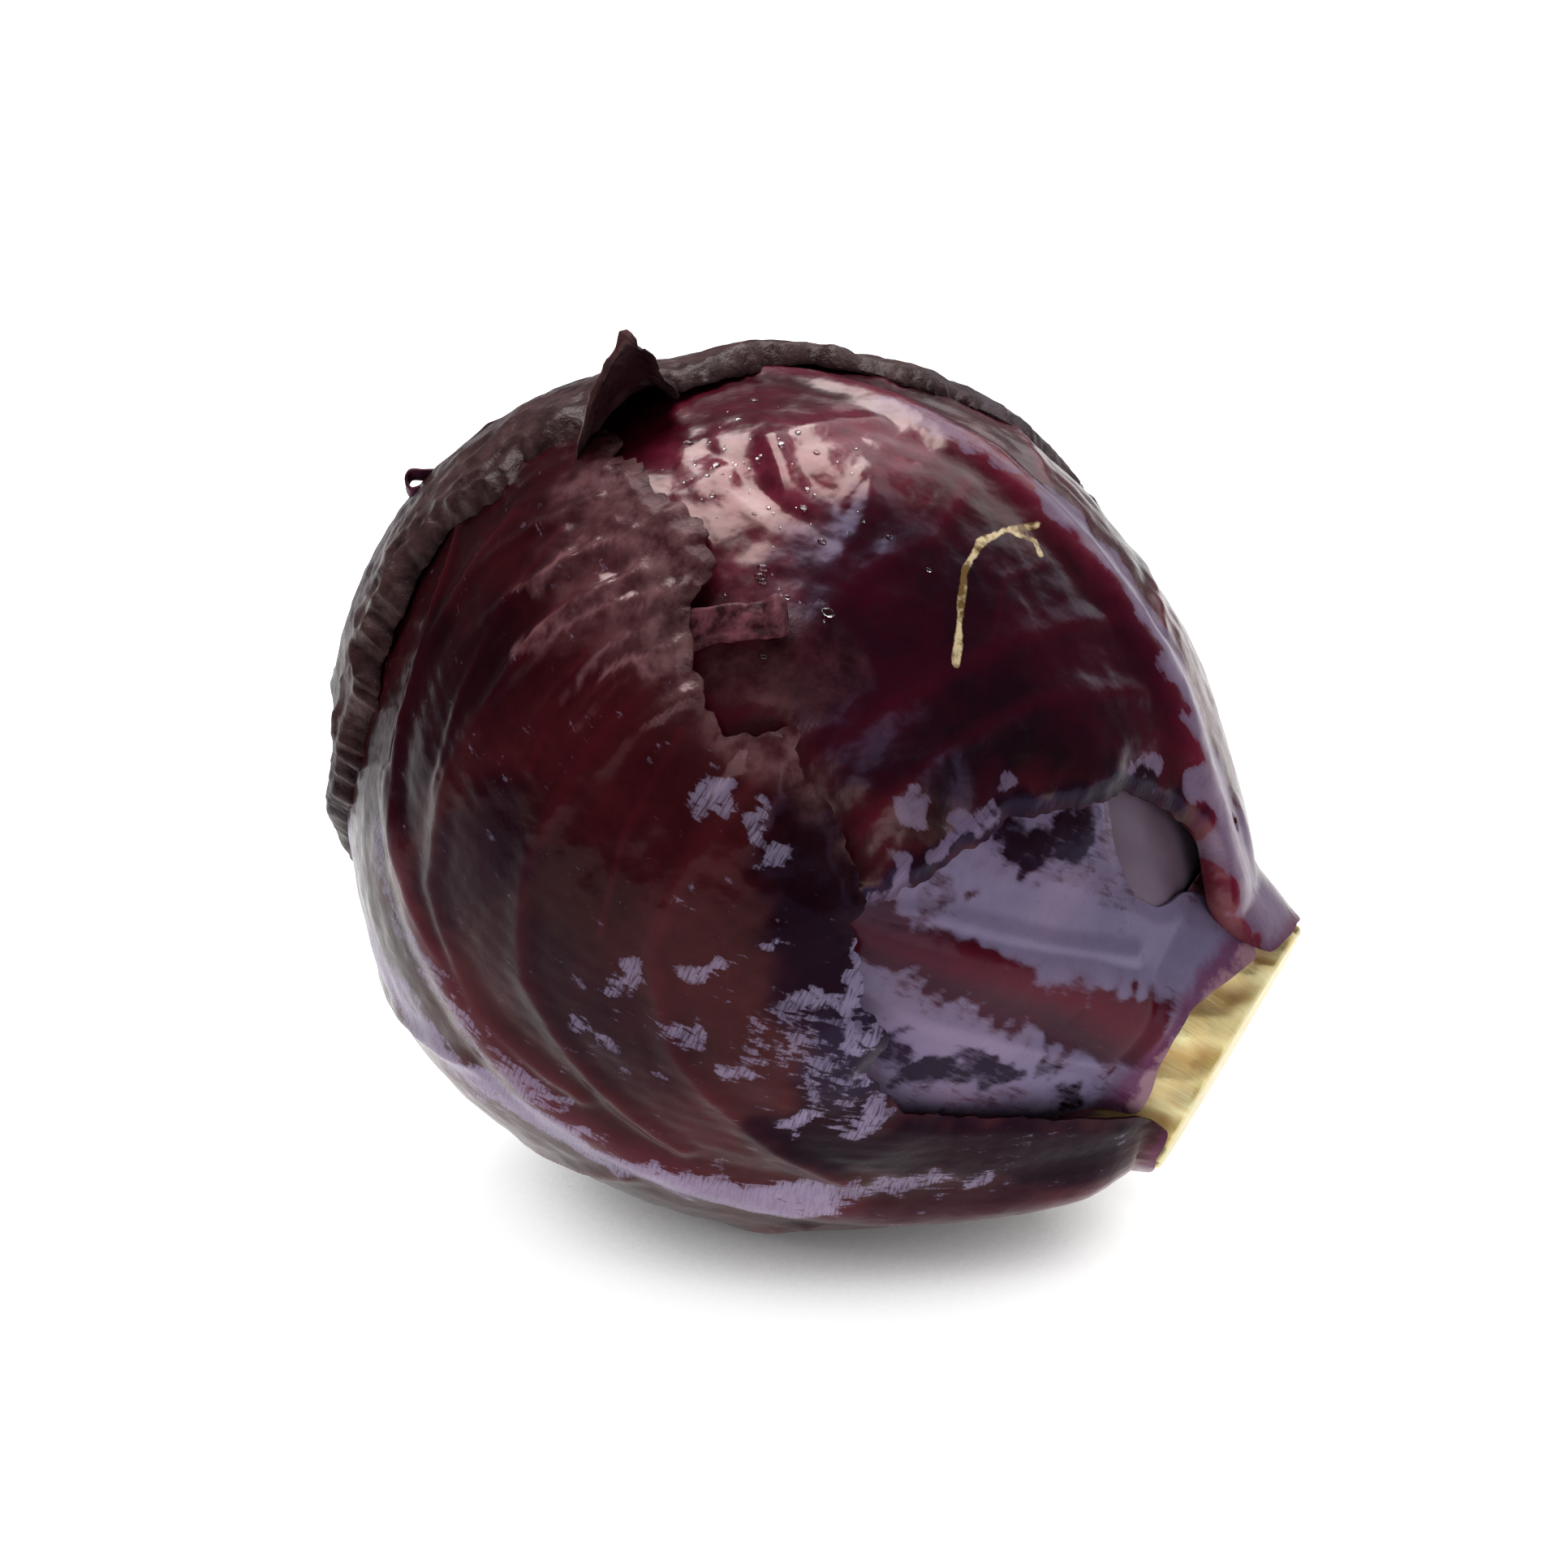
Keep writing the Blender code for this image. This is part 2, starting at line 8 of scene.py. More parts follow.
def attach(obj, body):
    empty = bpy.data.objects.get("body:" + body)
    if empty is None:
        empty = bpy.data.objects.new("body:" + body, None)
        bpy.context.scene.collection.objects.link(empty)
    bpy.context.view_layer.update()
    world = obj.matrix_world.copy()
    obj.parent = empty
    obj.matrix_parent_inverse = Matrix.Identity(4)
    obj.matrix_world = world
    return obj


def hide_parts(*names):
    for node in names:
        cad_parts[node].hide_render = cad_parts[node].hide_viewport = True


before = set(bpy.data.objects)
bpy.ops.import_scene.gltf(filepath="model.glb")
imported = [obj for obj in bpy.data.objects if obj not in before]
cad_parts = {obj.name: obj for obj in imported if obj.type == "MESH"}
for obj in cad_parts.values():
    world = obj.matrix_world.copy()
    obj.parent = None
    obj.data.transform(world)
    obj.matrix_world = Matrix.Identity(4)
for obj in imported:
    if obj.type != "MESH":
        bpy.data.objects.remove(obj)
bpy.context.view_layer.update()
print("frame loaded:", ", ".join(sorted(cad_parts)))

# the head's own shape, the same values as the solids; millimetres and degrees
headShape = {
    "centre": (-2.0, 0.0, 67.8),
    "axisDip": 25.0,
    "angle": [0, 12, 20, 30, 40, 50, 60, 75, 90, 105, 120, 135, 150, 165, 180],
    "radius": [81, 79.4, 77.1, 73.5, 70.9, 69.9, 69.0, 69.0, 69.9, 71.2, 72.1, 72.0, 72.8, 75.2, 78.0],
    "lean": [0, 0, -0.4, -0.7, -0.9, -0.6, -0.8, -0.5, 0.3, -0.7, -0.9, -0.3, 0, -0.4, 0],
    "blade": 1.0, "layerGap": 0.9, "featherStart": 4.0, "featherSlope": 0.12,
    "mmPerDegree": 1.27, "fieldStep": 2.5,
}
stalkShape = {"cutAt": 81.8, "foot": 64.0, "cutRadius": 22.5, "flare": 0.33, "lean": 2.2, "gap": 0.6}
heartShape = {"depth": 4.0, "end": 63.4}

centre = np.array(headShape["centre"])
dip = math.radians(headShape["axisDip"])
axis = np.array([math.cos(dip), 0.0, -math.sin(dip)])
front = np.array([0.0, -1.0, 0.0])
top = np.cross(front, axis)
mmDeg = headShape["mmPerDegree"]
mm, perMetre = 0.001, 1000  # the working is in mm, the scene in metres
markRadius = 71.0  # mm, of the ball on which painted marks are measured

# the photograph's view
view = {"azimuth": 21.0, "elevation": 20.0, "lens": 85.0, "sensor": 36.0, "mmPerPixel": 0.133,
        "photoSize": 1932, "middle": (977, 986)}
away = view["photoSize"] * view["mmPerPixel"] * view["lens"] / view["sensor"]
az, el = math.radians(view["azimuth"]), math.radians(view["elevation"])
sideways = np.array([math.cos(az), math.sin(az), 0.0])
backwards = np.array([math.sin(az) * math.cos(el), -math.cos(az) * math.cos(el), math.sin(el)])
upwards = np.cross(backwards, sideways)
shiftX = (view["middle"][0] - view["photoSize"] / 2) * view["mmPerPixel"]
shiftY = (view["middle"][1] - view["photoSize"] / 2) * view["mmPerPixel"]
eye = centre + backwards * away - sideways * shiftX + upwards * shiftY


def unit(v):
    return v / np.maximum(np.linalg.norm(v, axis=-1, keepdims=True), 1e-12)


def direction(angle, turn):
    a = np.radians(np.asarray(angle, float))[..., None]
    t = np.radians(np.asarray(turn, float))[..., None]
    return np.cos(a) * axis + np.sin(a) * (np.cos(t) * front + np.sin(t) * top)


def apart(d, way):  # degrees between directions
    return np.degrees(np.arccos(np.clip(d @ way, -1, 1)))


def anglesOf(d):
    return apart(d, axis), np.degrees(np.arctan2(d @ top, d @ front))


def smoothCurve(x, xs, ys):
    xs, ys = np.asarray(xs, float), np.asarray(ys, float)
    slope = np.gradient(ys, xs)
    slope[0] = slope[-1] = 0.0
    k = np.clip(np.searchsorted(xs, x, side="right") - 1, 0, len(xs) - 2)
    w = xs[k + 1] - xs[k]
    t = np.clip((x - xs[k]) / w, 0, 1)
    y = (1 + 2 * t) * (1 - t) ** 2 * ys[k] + t * (1 - t) ** 2 * w * slope[k]
    return y + t * t * (3 - 2 * t) * ys[k + 1] + t * t * (t - 1) * w * slope[k + 1]


def skin(d):
    a, turn = anglesOf(d)
    lean = smoothCurve(a, headShape["angle"], headShape["lean"])
    return smoothCurve(a, headShape["angle"], headShape["radius"]) + lean * np.sin(np.radians(turn))


def resting(d, radius, height):  # keeps each layer above the flat spot and parallel to it
    down = np.maximum(-d[..., 2], 1e-3)
    return np.minimum(radius, (centre[2] + np.minimum(height, 0)) / down)


def bumps(d, step, seed):  # rounded bumps about one step (degrees) across
    rng = np.random.default_rng(seed)
    waves = unit(rng.normal(size=(7, 3))) * (360 / step)
    shift = rng.uniform(0, 2 * math.pi, 7)
    return np.sin(d @ waves.T + shift).sum(axis=-1) / 3.2


def bell(x, power=2):
    return np.exp(-(x ** power))


def smoothStep(low, high, x):
    t = np.clip((x - low) / (high - low), 0, 1)
    return t * t * (3 - 2 * t)


# each leaf is laid out flat in a chart, in degrees from its own middle

def chartAxes(leaf):
    c = direction(*leaf["centre"])
    ahead = unit(-axis - c * (c @ -axis))
    return c, ahead, np.cross(ahead, c)


def toChart(leaf, d):
    c, ahead, side = chartAxes(leaf)
    away = apart(d, c)
    flat = np.stack([d @ ahead, d @ side], -1)
    return flat / np.maximum(np.linalg.norm(flat, axis=-1, keepdims=True), 1e-9) * away[..., None]


def fromChart(leaf, xy):
    c, ahead, side = chartAxes(leaf)
    away = np.radians(np.linalg.norm(xy, axis=-1, keepdims=True))
    way = unit(xy)
    return np.cos(away) * c + np.sin(away) * (way[..., :1] * ahead + way[..., 1:] * side)


def spots(text):  # directions of points written as "angle,turn"
    return direction(*np.array([p.split(",") for p in text.split()], float).T)


def path(leaf, text):
    return toChart(leaf, spots(text))


def nearPath(xy, line):
    best = np.full(len(xy), 1e9)
    share = np.zeros(len(xy))
    lengths = np.maximum(np.linalg.norm(np.diff(line, axis=0), axis=1), 1e-9)
    start = np.concatenate([[0], np.cumsum(lengths)])
    for k, (a, b) in enumerate(zip(line[:-1], line[1:])):
        t = np.clip((xy - a) @ (b - a) / lengths[k] ** 2, 0, 1)
        gap = np.linalg.norm(xy - a - t[:, None] * (b - a), axis=1)
        closer = gap < best
        best[closer] = gap[closer]
        share[closer] = (start[k] + t[closer] * lengths[k]) / start[-1]
    return best, share


def insideRing(xy, ring):
    odd = np.zeros(len(xy), bool)
    for a, b in zip(ring, np.roll(ring, -1, axis=0)):
        crosses = (a[1] > xy[:, 1]) != (b[1] > xy[:, 1])
        at = a[0] + (xy[:, 1] - a[1]) / (b[1] - a[1] + 1e-12) * (b[0] - a[0])
        odd ^= crosses & (xy[:, 0] < at)
    return odd


def nearRing(xy, ring):  # distance to the outline and the nearest point on it
    tree = KDTree(len(ring))
    for k, (x, y) in enumerate(ring):
        tree.insert((x, y, 0), k)
    tree.balance()
    k = np.array([tree.find((x, y, 0))[1] for x, y in xy])
    away = np.full(len(xy), 1e9)
    spot = np.zeros((len(xy), 2))
    for first in (k - 1, k):
        a, b = ring[first], ring[(first + 1) % len(ring)]
        t = np.clip(((xy - a) * (b - a)).sum(-1) / np.maximum(((b - a) ** 2).sum(-1), 1e-12), 0, 1)
        foot = a + t[:, None] * (b - a)
        gap = np.linalg.norm(xy - foot, axis=1)
        closer = gap < away
        away[closer] = gap[closer]
        spot[closer] = foot[closer]
    return away, spot


flapShape = {
    "fold": "140,54 126,77", "length": 17.8, "foldTurn": 58.0, "curlTurn": 26.0, "curlFrom": 0.5, "crease": 0.86,
    "tent": 0.4, "paleFrom": 8.5, "halfSpan": 14,
    "corners": ((0.05, 0.05), (0.36, 0.36), (0.64, 0.74), (0.9, 1.06), (1.0, 0.82), (1.02, 0.42)),
}


def flapFrame(leaf):
    a, b = path(leaf, flapShape["fold"])
    along = (b - a) / np.linalg.norm(b - a)
    out = np.array([along[1], -along[0]])
    if out @ (toChart(leaf, direction(110, 45)) - a) < 0:
        out = -out
    return a, b, along, out


def overFold(leaf, xy):  # how far points are beyond the flap's fold, along it, and from its middle
    a, b, along, out = flapFrame(leaf)
    return (xy - a) @ out, (xy - a) @ along, (xy - (a + b) / 2) @ along


def ringOf(leaf, step, fine):  # the outline, stepped and made ragged
    corners = []
    for p in leaf["outline"].split():
        if p == "flap":
            a, b, along, out = flapFrame(leaf)
            long = flapShape["length"] / mmDeg
            width = np.linalg.norm(b - a)
            corners += [a + along * s * width + out * q * long for s, q in flapShape["corners"]]
        else:
            corners.append(path(leaf, p)[0])
    corners = np.array(corners)
    ring = []
    for a, b in zip(corners, np.roll(corners, -1, axis=0)):
        n = max(1, round(np.linalg.norm(b - a) * mmDeg / step))
        ring += [a + (b - a) * k / n for k in range(n)]
    ring = np.array(ring)
    if fine:  # the traced corners are rounded before the torn edge is put on
        for _ in range(int(2.2 / step)):
            ring = ring * 0.5 + np.roll(ring, 1, axis=0) * 0.25 + np.roll(ring, -1, axis=0) * 0.25
    ahead = np.roll(ring, -1, axis=0) - np.roll(ring, 1, axis=0)
    normal = unit(np.stack([ahead[:, 1], -ahead[:, 0]], -1))
    d = fromChart(leaf, ring)
    wave = bumps(d, 9, 11) * 0.6 + bumps(d, 5, 12) * 0.4
    if fine:
        torn = (np.abs(bumps(d, 3.6, 13)) - 0.4) * np.clip(bumps(d, 14, 15) + 0.6, 0, 1.6) + bumps(d, 1.6, 14) * 0.3
        torn = torn - 1.6 * np.clip(bumps(d, 4.5, 16) - 0.85, 0, 1)
        wave = wave + torn * leaf["torn"]
    firm = np.clip((anglesOf(d)[0] - 24) / 14, 0, 1)
    if "flap" in leaf["outline"]:  # the flap keeps its pointed shape
        beyond, _, fromMiddle = overFold(leaf, ring)
        firm = firm * (1 - 0.75 * (beyond > 0.5) * (np.abs(fromMiddle) < flapShape["halfSpan"]))
    return ring + normal * (wave * firm * leaf["ragged"] / mmDeg)[:, None]


def ridge(gap, width):
    return np.cos(np.clip(gap / width, 0, 1) * math.pi / 2) ** 2


def thickness(leaf, xy):  # blade, midrib and side veins, as in the solids
    gap, share = nearPath(xy, leaf["ribLine"])
    wide = np.interp(share, [0, 1], leaf["ribWidth"]) / mmDeg / 2
    tall = np.interp(share, [0, 1], leaf["ribHeight"])
    thick = headShape["blade"] + tall * ridge(gap, wide * 1.25)
    for line in leaf["veinLines"]:
        gap, share = nearPath(xy, line)
        rise = leaf["veinHeight"] * (1 - 0.5 * share) * ridge(gap, leaf["veinWidth"] / mmDeg)
        thick = np.maximum(thick, headShape["blade"] + rise)
    return thick


def standOff(leaf, xy):  # crinkles that grow to the edge, and lifted corners
    d = fromChart(leaf, xy)
    edge, _ = nearRing(xy, leaf["ring"])
    loose = np.exp(-edge * mmDeg / 9)
    firm = np.clip((anglesOf(d)[0] - 26) / 20, 0, 1)
    lift = leaf["crinkle"] * firm * (0.25 + loose) * (0.9 + bumps(d, 16, 21) * 0.6 + bumps(d, 9, 22) * 0.3)
    for angle, turn, reach, high in leaf["lifts"]:
        away = apart(d, direction(angle, turn))
        lift = lift + high * bell(away / reach) * (0.3 + 0.7 * loose)
    return np.maximum(lift, 0)


def fieldHeight(leaf, xy):
    low, field = leaf["field"]
    at = (xy - low) / headShape["fieldStep"]
    k = np.clip(np.floor(at).astype(int), 0, np.array(field.shape) - 2)
    t = np.clip(at - k, 0, 1)
    t = t * t * (3 - 2 * t)
    i, j = k[:, 0], k[:, 1]
    a = field[i, j] * (1 - t[:, 1]) + field[i, j + 1] * t[:, 1]
    b = field[i + 1, j] * (1 - t[:, 1]) + field[i + 1, j + 1] * t[:, 1]
    return a * (1 - t[:, 0]) + b * t[:, 0]


def layField(leaf, below):  # the leaf clears every layer below it
    step = headShape["fieldStep"]
    low = leaf["ring"].min(axis=0) - 2 * step
    count = np.ceil((leaf["ring"].max(axis=0) + 2 * step - low) / step).astype(int) + 1
    x, y = np.meshgrid(*[low[k] + step * np.arange(count[k]) for k in (0, 1)], indexing="ij")
    d = fromChart(leaf, np.stack([x.ravel(), y.ravel()], -1))
    field = np.full(len(d), -float(leaf["depth"]))
    for dirs, tops in below:
        for i in range(0, len(d), 1000):
            away = apart(d[i:i + 1000], dirs.T)
            reach = tops - headShape["featherSlope"] * np.maximum(away - headShape["featherStart"], 0)
            field[i:i + 1000] = np.maximum(field[i:i + 1000], reach.max(axis=1) + headShape["layerGap"])
    leaf["field"] = (low, field.reshape(x.shape))


def topsOf(leaf):
    low, high = leaf["ring"].min(axis=0), leaf["ring"].max(axis=0)
    step = headShape["fieldStep"]
    x, y = np.meshgrid(*[np.arange(low[k], high[k], step) for k in (0, 1)], indexing="ij")
    xy = np.stack([x.ravel(), y.ravel()], -1)
    xy = np.vstack([xy[insideRing(xy, leaf["ring"])], leaf["ring"]])
    return fromChart(leaf, xy), fieldHeight(leaf, xy) + standOff(leaf, xy) + thickness(leaf, xy)


def clearOfStalk(d, radius):
    a, turn = anglesOf(d)
    a = np.radians(a)
    s = stalkShape
    k = s["cutRadius"] + s["lean"] * np.sin(np.radians(turn)) + s["gap"] + s["flare"] * s["cutAt"]
    return np.where(a < 0.6, np.maximum(radius, k / (np.sin(a) + s["flare"] * np.cos(a))), radius)


def heartHeight(d):
    a, turn = anglesOf(d)
    ramp = ((turn + 0.55 * a + 40) / 120) % 1.0
    step = 0.9 * np.clip(ramp / 0.9, 0, 1) - 0.9 * np.clip((ramp - 0.9) / 0.1, 0, 1)
    return -heartShape["depth"] - 0.9 + step + bumps(d, 30, 31) * 0.15


# meshes and objects

def deselectAll():
    if bpy.context.object and bpy.context.object.mode != "OBJECT":
        bpy.ops.object.mode_set(mode="OBJECT")
    bpy.ops.object.select_all(action="DESELECT")


def newPiece(name):  # names the object that was just added
    obj = bpy.context.object
    obj.name = obj.data.name = name
    return obj


def pick(obj):  # makes it the only selected object
    deselectAll()
    obj.select_set(True)
    bpy.context.view_layer.objects.active = obj


def pointsOf(obj):
    co = np.empty(len(obj.data.vertices) * 3)
    obj.data.vertices.foreach_get("co", co)
    return co.reshape(-1, 3)


def setPoints(obj, points):
    obj.data.vertices.foreach_set("co", np.ascontiguousarray(points, dtype=np.float32).ravel())
    obj.data.update()


def deleteMarked(obj, marked):  # deletes the marked vertices in edit mode
    mesh = obj.data
    mesh.polygons.foreach_set("select", np.zeros(len(mesh.polygons), bool))
    mesh.edges.foreach_set("select", np.zeros(len(mesh.edges), bool))
    mesh.vertices.foreach_set("select", np.ascontiguousarray(marked, dtype=bool))
    bpy.context.view_layer.objects.active = obj
    bpy.ops.object.mode_set(mode="EDIT")
    bpy.context.tool_settings.mesh_select_mode = (True, False, False)
    bpy.ops.mesh.delete(type="VERT")
    bpy.ops.object.mode_set(mode="OBJECT")


def rimVertices(mesh):
    counts = np.zeros(len(mesh.edges), int)
    loops = np.empty(len(mesh.loops), int)
    mesh.loops.foreach_get("edge_index", loops)
    np.add.at(counts, loops, 1)
    ends = np.empty(len(mesh.edges) * 2, int)
    mesh.edges.foreach_get("vertices", ends)
    rim = np.zeros(len(mesh.vertices), bool)
    rim[ends.reshape(-1, 2)[counts == 1].ravel()] = True
    return rim


def addValues(obj, name, values):
    layer = obj.data.attributes.new(name, "FLOAT", "POINT")
    layer.data.foreach_set("value", np.ascontiguousarray(values, dtype=np.float32))


def addMap(obj, name, flat):  # a UV map from one flat place per vertex
    layer = obj.data.uv_layers.new(name=name)
    corners = np.empty(len(obj.data.loops), int)
    obj.data.loops.foreach_get("vertex_index", corners)
    layer.data.foreach_set("uv", np.ascontiguousarray(flat[corners], dtype=np.float32).ravel())


def facesOutward(obj):
    mesh = obj.data
    mesh.calc_loop_triangles()
    tri = np.empty(len(mesh.loop_triangles) * 3, int)
    mesh.loop_triangles.foreach_get("vertices", tri)
    p = pointsOf(obj)[tri.reshape(-1, 3)]
    if np.einsum("ij,ij->i", p[:, 0], np.cross(p[:, 1], p[:, 2])).sum() < 0:
        mesh.flip_normals()


# materials: colours are sRGB hex, turned linear here

def colour(hexValue, alpha=1.0):
    parts = [int(hexValue[k:k + 2], 16) / 255 for k in (1, 3, 5)]
    return tuple(c / 12.92 if c <= 0.04045 else ((c + 0.055) / 1.055) ** 2.4 for c in parts) + (alpha,)


def fill(tree, n, ins):  # links or sets the inputs of a node
    for key, value in ins.items():
        if isinstance(value, bpy.types.NodeSocket):
            tree.links.new(value, n.inputs[key])
        else:
            n.inputs[key].default_value = value


def node(tree, kind, ins=None, out=0, **settings):  # adds a node with its settings and links, and gives its output
    n = tree.nodes.new("ShaderNode" + kind)
    for key, value in settings.items():
        setattr(n, key, value)
    fill(tree, n, ins or {})
    return n.outputs[out]


def newMaterial(name):
    m = bpy.data.materials.new(name)
    m.use_nodes = True
    m.node_tree.nodes.clear()
    out = m.node_tree.nodes.new("ShaderNodeOutputMaterial")
    shader = m.node_tree.nodes.new("ShaderNodeBsdfPrincipled")
    m.node_tree.links.new(shader.outputs[0], out.inputs[0])
    return m, m.node_tree, shader


def leafMaterial(name, look):
    # Cabbage leaf: a living skin under wax bloom. Where the wax is whole it looks lilac and soft, and the same lilac
    # tone is also painted on as a reflection of the floor and lamps; where it is rubbed or wet the dark pigment shows
    # with a clear gloss
    m, tree, shader = newMaterial(name)
    place = node(tree, "TexCoord", out="Object")
    flat = node(tree, "UVMap", uv_map="leafMap")
    vein, rib, dry, waxAndSheen, baseEnd, scar, wet, fadeAndHighlight, paintedShade = [
        node(tree, "Attribute", out="Fac", attribute_name=k)
        for k in ("vein", "rib", "dry", "waxAndSheen", "base", "scar", "wet", "fadeAndHighlight", "paintedShade")]
    # sizes: pigment in patches of 25 mm, mottling of 2 mm, wax clouds of 4 mm, creases of 3 mm,
    # skin cells, too fine to see, drawn at 1 mm, and swellings of 9 mm
    patches, mottle, clouds, creases, cells, swell = [
        node(tree, "TexNoise", {"Vector": place, "Scale": scale, "Detail": detail, "Roughness": 0.62})
        for scale, detail in ((40, 5), (480, 3), (230, 5), (260, 6), (900, 3), (110, 3))]
    # the wax is rubbed off in strokes about 1.5 mm wide along the leaf, and scratched across them
    along = node(tree, "Mapping", {"Vector": flat, "Scale": (26.0, 95.0, 1.0)})
    across = node(tree, "Mapping", {"Vector": flat, "Scale": (230.0, 26.0, 1.0), "Rotation": (0, 0, 0.5)})
    strokes, scratches = [
        node(tree, "TexNoise", {"Vector": way, "Scale": 1.0, "Detail": 7.0, "Roughness": 0.62, "Distortion": twist})
        for way, twist in ((along, 0.5), (across, 0.3))]
    rubbed = node(tree, "Math", {0: strokes, 1: clouds}, operation="ADD")
    rubbed = node(tree, "MapRange", {0: rubbed, 1: 0.7, 2: 1.3, 3: -look["rub"], 4: look["rub"]})
    wax = node(tree, "Math", {0: waxAndSheen, 1: rubbed}, operation="ADD")
    wax = node(tree, "MapRange", {0: wax, 1: 0.52 - look["soft"], 2: 0.52 + look["soft"]})
    solid = node(tree, "MapRange", {0: waxAndSheen, 1: 0.7, 2: 1.0})
    thin = node(tree, "MapRange", {0: scratches, 1: 0.5, 2: 0.6, 3: 1.0, 4: look["scratched"]})
    thin = node(tree, "Math", {0: thin, 1: solid}, operation="MAXIMUM")
    wax = node(tree, "Math", {0: wax, 1: thin}, operation="MULTIPLY")
    whole = node(tree, "MapRange", {0: waxAndSheen, 1: 0.3, 2: 1.0, 3: 0.45 * look["waxAndSheenShow"], 4: look["waxAndSheenShow"]})
    waxAndSheenFac = node(tree, "Math", {0: wax, 1: whole}, operation="MULTIPLY")
    dryFac = node(tree, "MapRange", {0: creases, 1: 0.3, 2: 0.62, 3: 0.55, 4: 1.0})
    dryFac = node(tree, "Math", {0: dry, 1: dryFac}, operation="MULTIPLY", use_clamp=True)
    dryTone = node(tree, "MapRange", {0: creases, 1: 0.38, 2: 0.66})
    dryTone = node(tree, "Mix", {0: dryTone, 6: colour(look["dryDark"]), 7: colour(look["dryPale"])}, 2,
                   data_type="RGBA")
    waxAndSheenTone = node(tree, "MapRange", {0: patches, 1: 0.35, 2: 0.65})
    waxAndSheenTone = node(tree, "Mix", {0: waxAndSheenTone, 6: colour(look["waxAndSheenLow"]), 7: colour(look["wax"])}, 2,
                   data_type="RGBA")
    # a corky scar where the skin once split
    split = node(tree, "Math", {0: clouds, 1: 1.6, 2: scar}, operation="MULTIPLY_ADD")
    cork = node(tree, "MapRange", {0: creases, 1: 0.44, 2: 0.56})
    cork = node(tree, "Mix", {0: cork, 6: colour("#6e5430"), 7: colour("#dcc69c")}, 2, data_type="RGBA")
    # faded skin and painted highlights, broken up by the creases
    wornAndHighlight = node(tree, "MapRange", {0: creases, 1: 0.36, 2: 0.6, 3: 0.25, 4: 1.0})
    wornAndHighlight = node(tree, "Math", {0: fadeAndHighlight, 1: wornAndHighlight}, operation="MULTIPLY")
    baseEnd = node(tree, "Math", {0: clouds, 1: 0.9, 2: baseEnd}, operation="MULTIPLY_ADD")
    # colours are laid over each other: source, its range, how much it covers from and to, and the tone
    base = colour(look["dark"])
    for source, low, high, least, most, tone in (
            (patches, 0.35, 0.66, 0.0, 1.0, look["mid"]), (mottle, 0.45, 0.75, 0.0, 0.35, look["dark"]),
            # the faded tone is faded skin and also painted highlights
            (wornAndHighlight, 0.0, 1.0, 0.0, 1.0, look["fadedAndHighlight"]), (rib, 0.15, 0.95, 0.0, look["ribShow"], look["ribColour"]),
            # the near black tone is painted shade
            (vein, 0.25, 0.95, 0.0, look["veinShow"], look["veinColour"]), (paintedShade, 0.0, 1.0, 0.0, 1.0, "#12080e"),
            # the wax tone is wax bloom and also a painted reflection
            (waxAndSheenFac, 0.0, 1.0, 0.0, 1.0, waxAndSheenTone), (dryFac, 0.0, 1.0, 0.0, 1.0, dryTone),
            (baseEnd, 0.78, 1.1, 0.0, 0.75, "#5c2648"), (baseEnd, 1.28, 1.42, 0.0, 0.7, "#a07c84"),
            (split, 1.25, 1.5, 1.0, 0.0, cork)):
        amount = node(tree, "MapRange", {0: source, 1: low, 2: high, 3: least, 4: most})
        tone = colour(tone) if isinstance(tone, str) else tone
        base = node(tree, "Mix", {0: amount, 6: base, 7: tone}, 2, data_type="RGBA")
    # roughness: glossy where clear or wet, softer on wax, dull where dry
    rough = look["rough"]
    rough = node(tree, "MapRange", {0: mottle, 1: 0.3, 2: 0.75, 3: rough - 0.03, 4: rough + 0.07})
    for source, more in ((wax, look["waxRough"]), (dryFac, look["dryRough"]), (wet, -look["wetGloss"])):
        rough = node(tree, "Math", {0: source, 1: more, 2: rough}, operation="MULTIPLY_ADD", use_clamp=True)
    # relief: cells over swellings, and creases where the leaf is dry
    relief = node(tree, "Math", {0: cells, 1: look["cells"], 2: swell}, operation="MULTIPLY_ADD")
    creased = node(tree, "Math", {0: creases, 1: dry}, operation="MULTIPLY")
    relief = node(tree, "Math", {0: creased, 1: 1.6, 2: relief}, operation="MULTIPLY_ADD")
    bump = node(tree, "Bump", {"Height": relief, "Strength": look["bump"], "Distance": 0.0008})
    # dry and dark places shine less, wet ones more
    shine = node(tree, "MapRange", {0: dry, 3: look["gloss"], 4: look["gloss"] * 0.3})
    dulled = node(tree, "MapRange", {0: paintedShade, 3: 1.0, 4: look["darkShine"]})
    shine = node(tree, "Math", {0: shine, 1: dulled}, operation="MULTIPLY")
    shine = node(tree, "Math", {0: wet, 1: look["wetShine"], 2: shine}, operation="MULTIPLY_ADD")
    # the wettest and darkest skin shines bluish
    shineTone = node(tree, "MapRange", {0: paintedShade, 1: 0.15, 2: 0.7})
    shineTone = node(tree, "Mix", {0: shineTone, 6: colour(look["glossTint"]), 7: colour("#a8a2f0")}, 2,
                     data_type="RGBA")
    fill(tree, shader, {"Base Color": base, "Roughness": rough, "Normal": bump, "IOR": 1.45,
                        "Specular IOR Level": shine, "Specular Tint": shineTone})
    return m


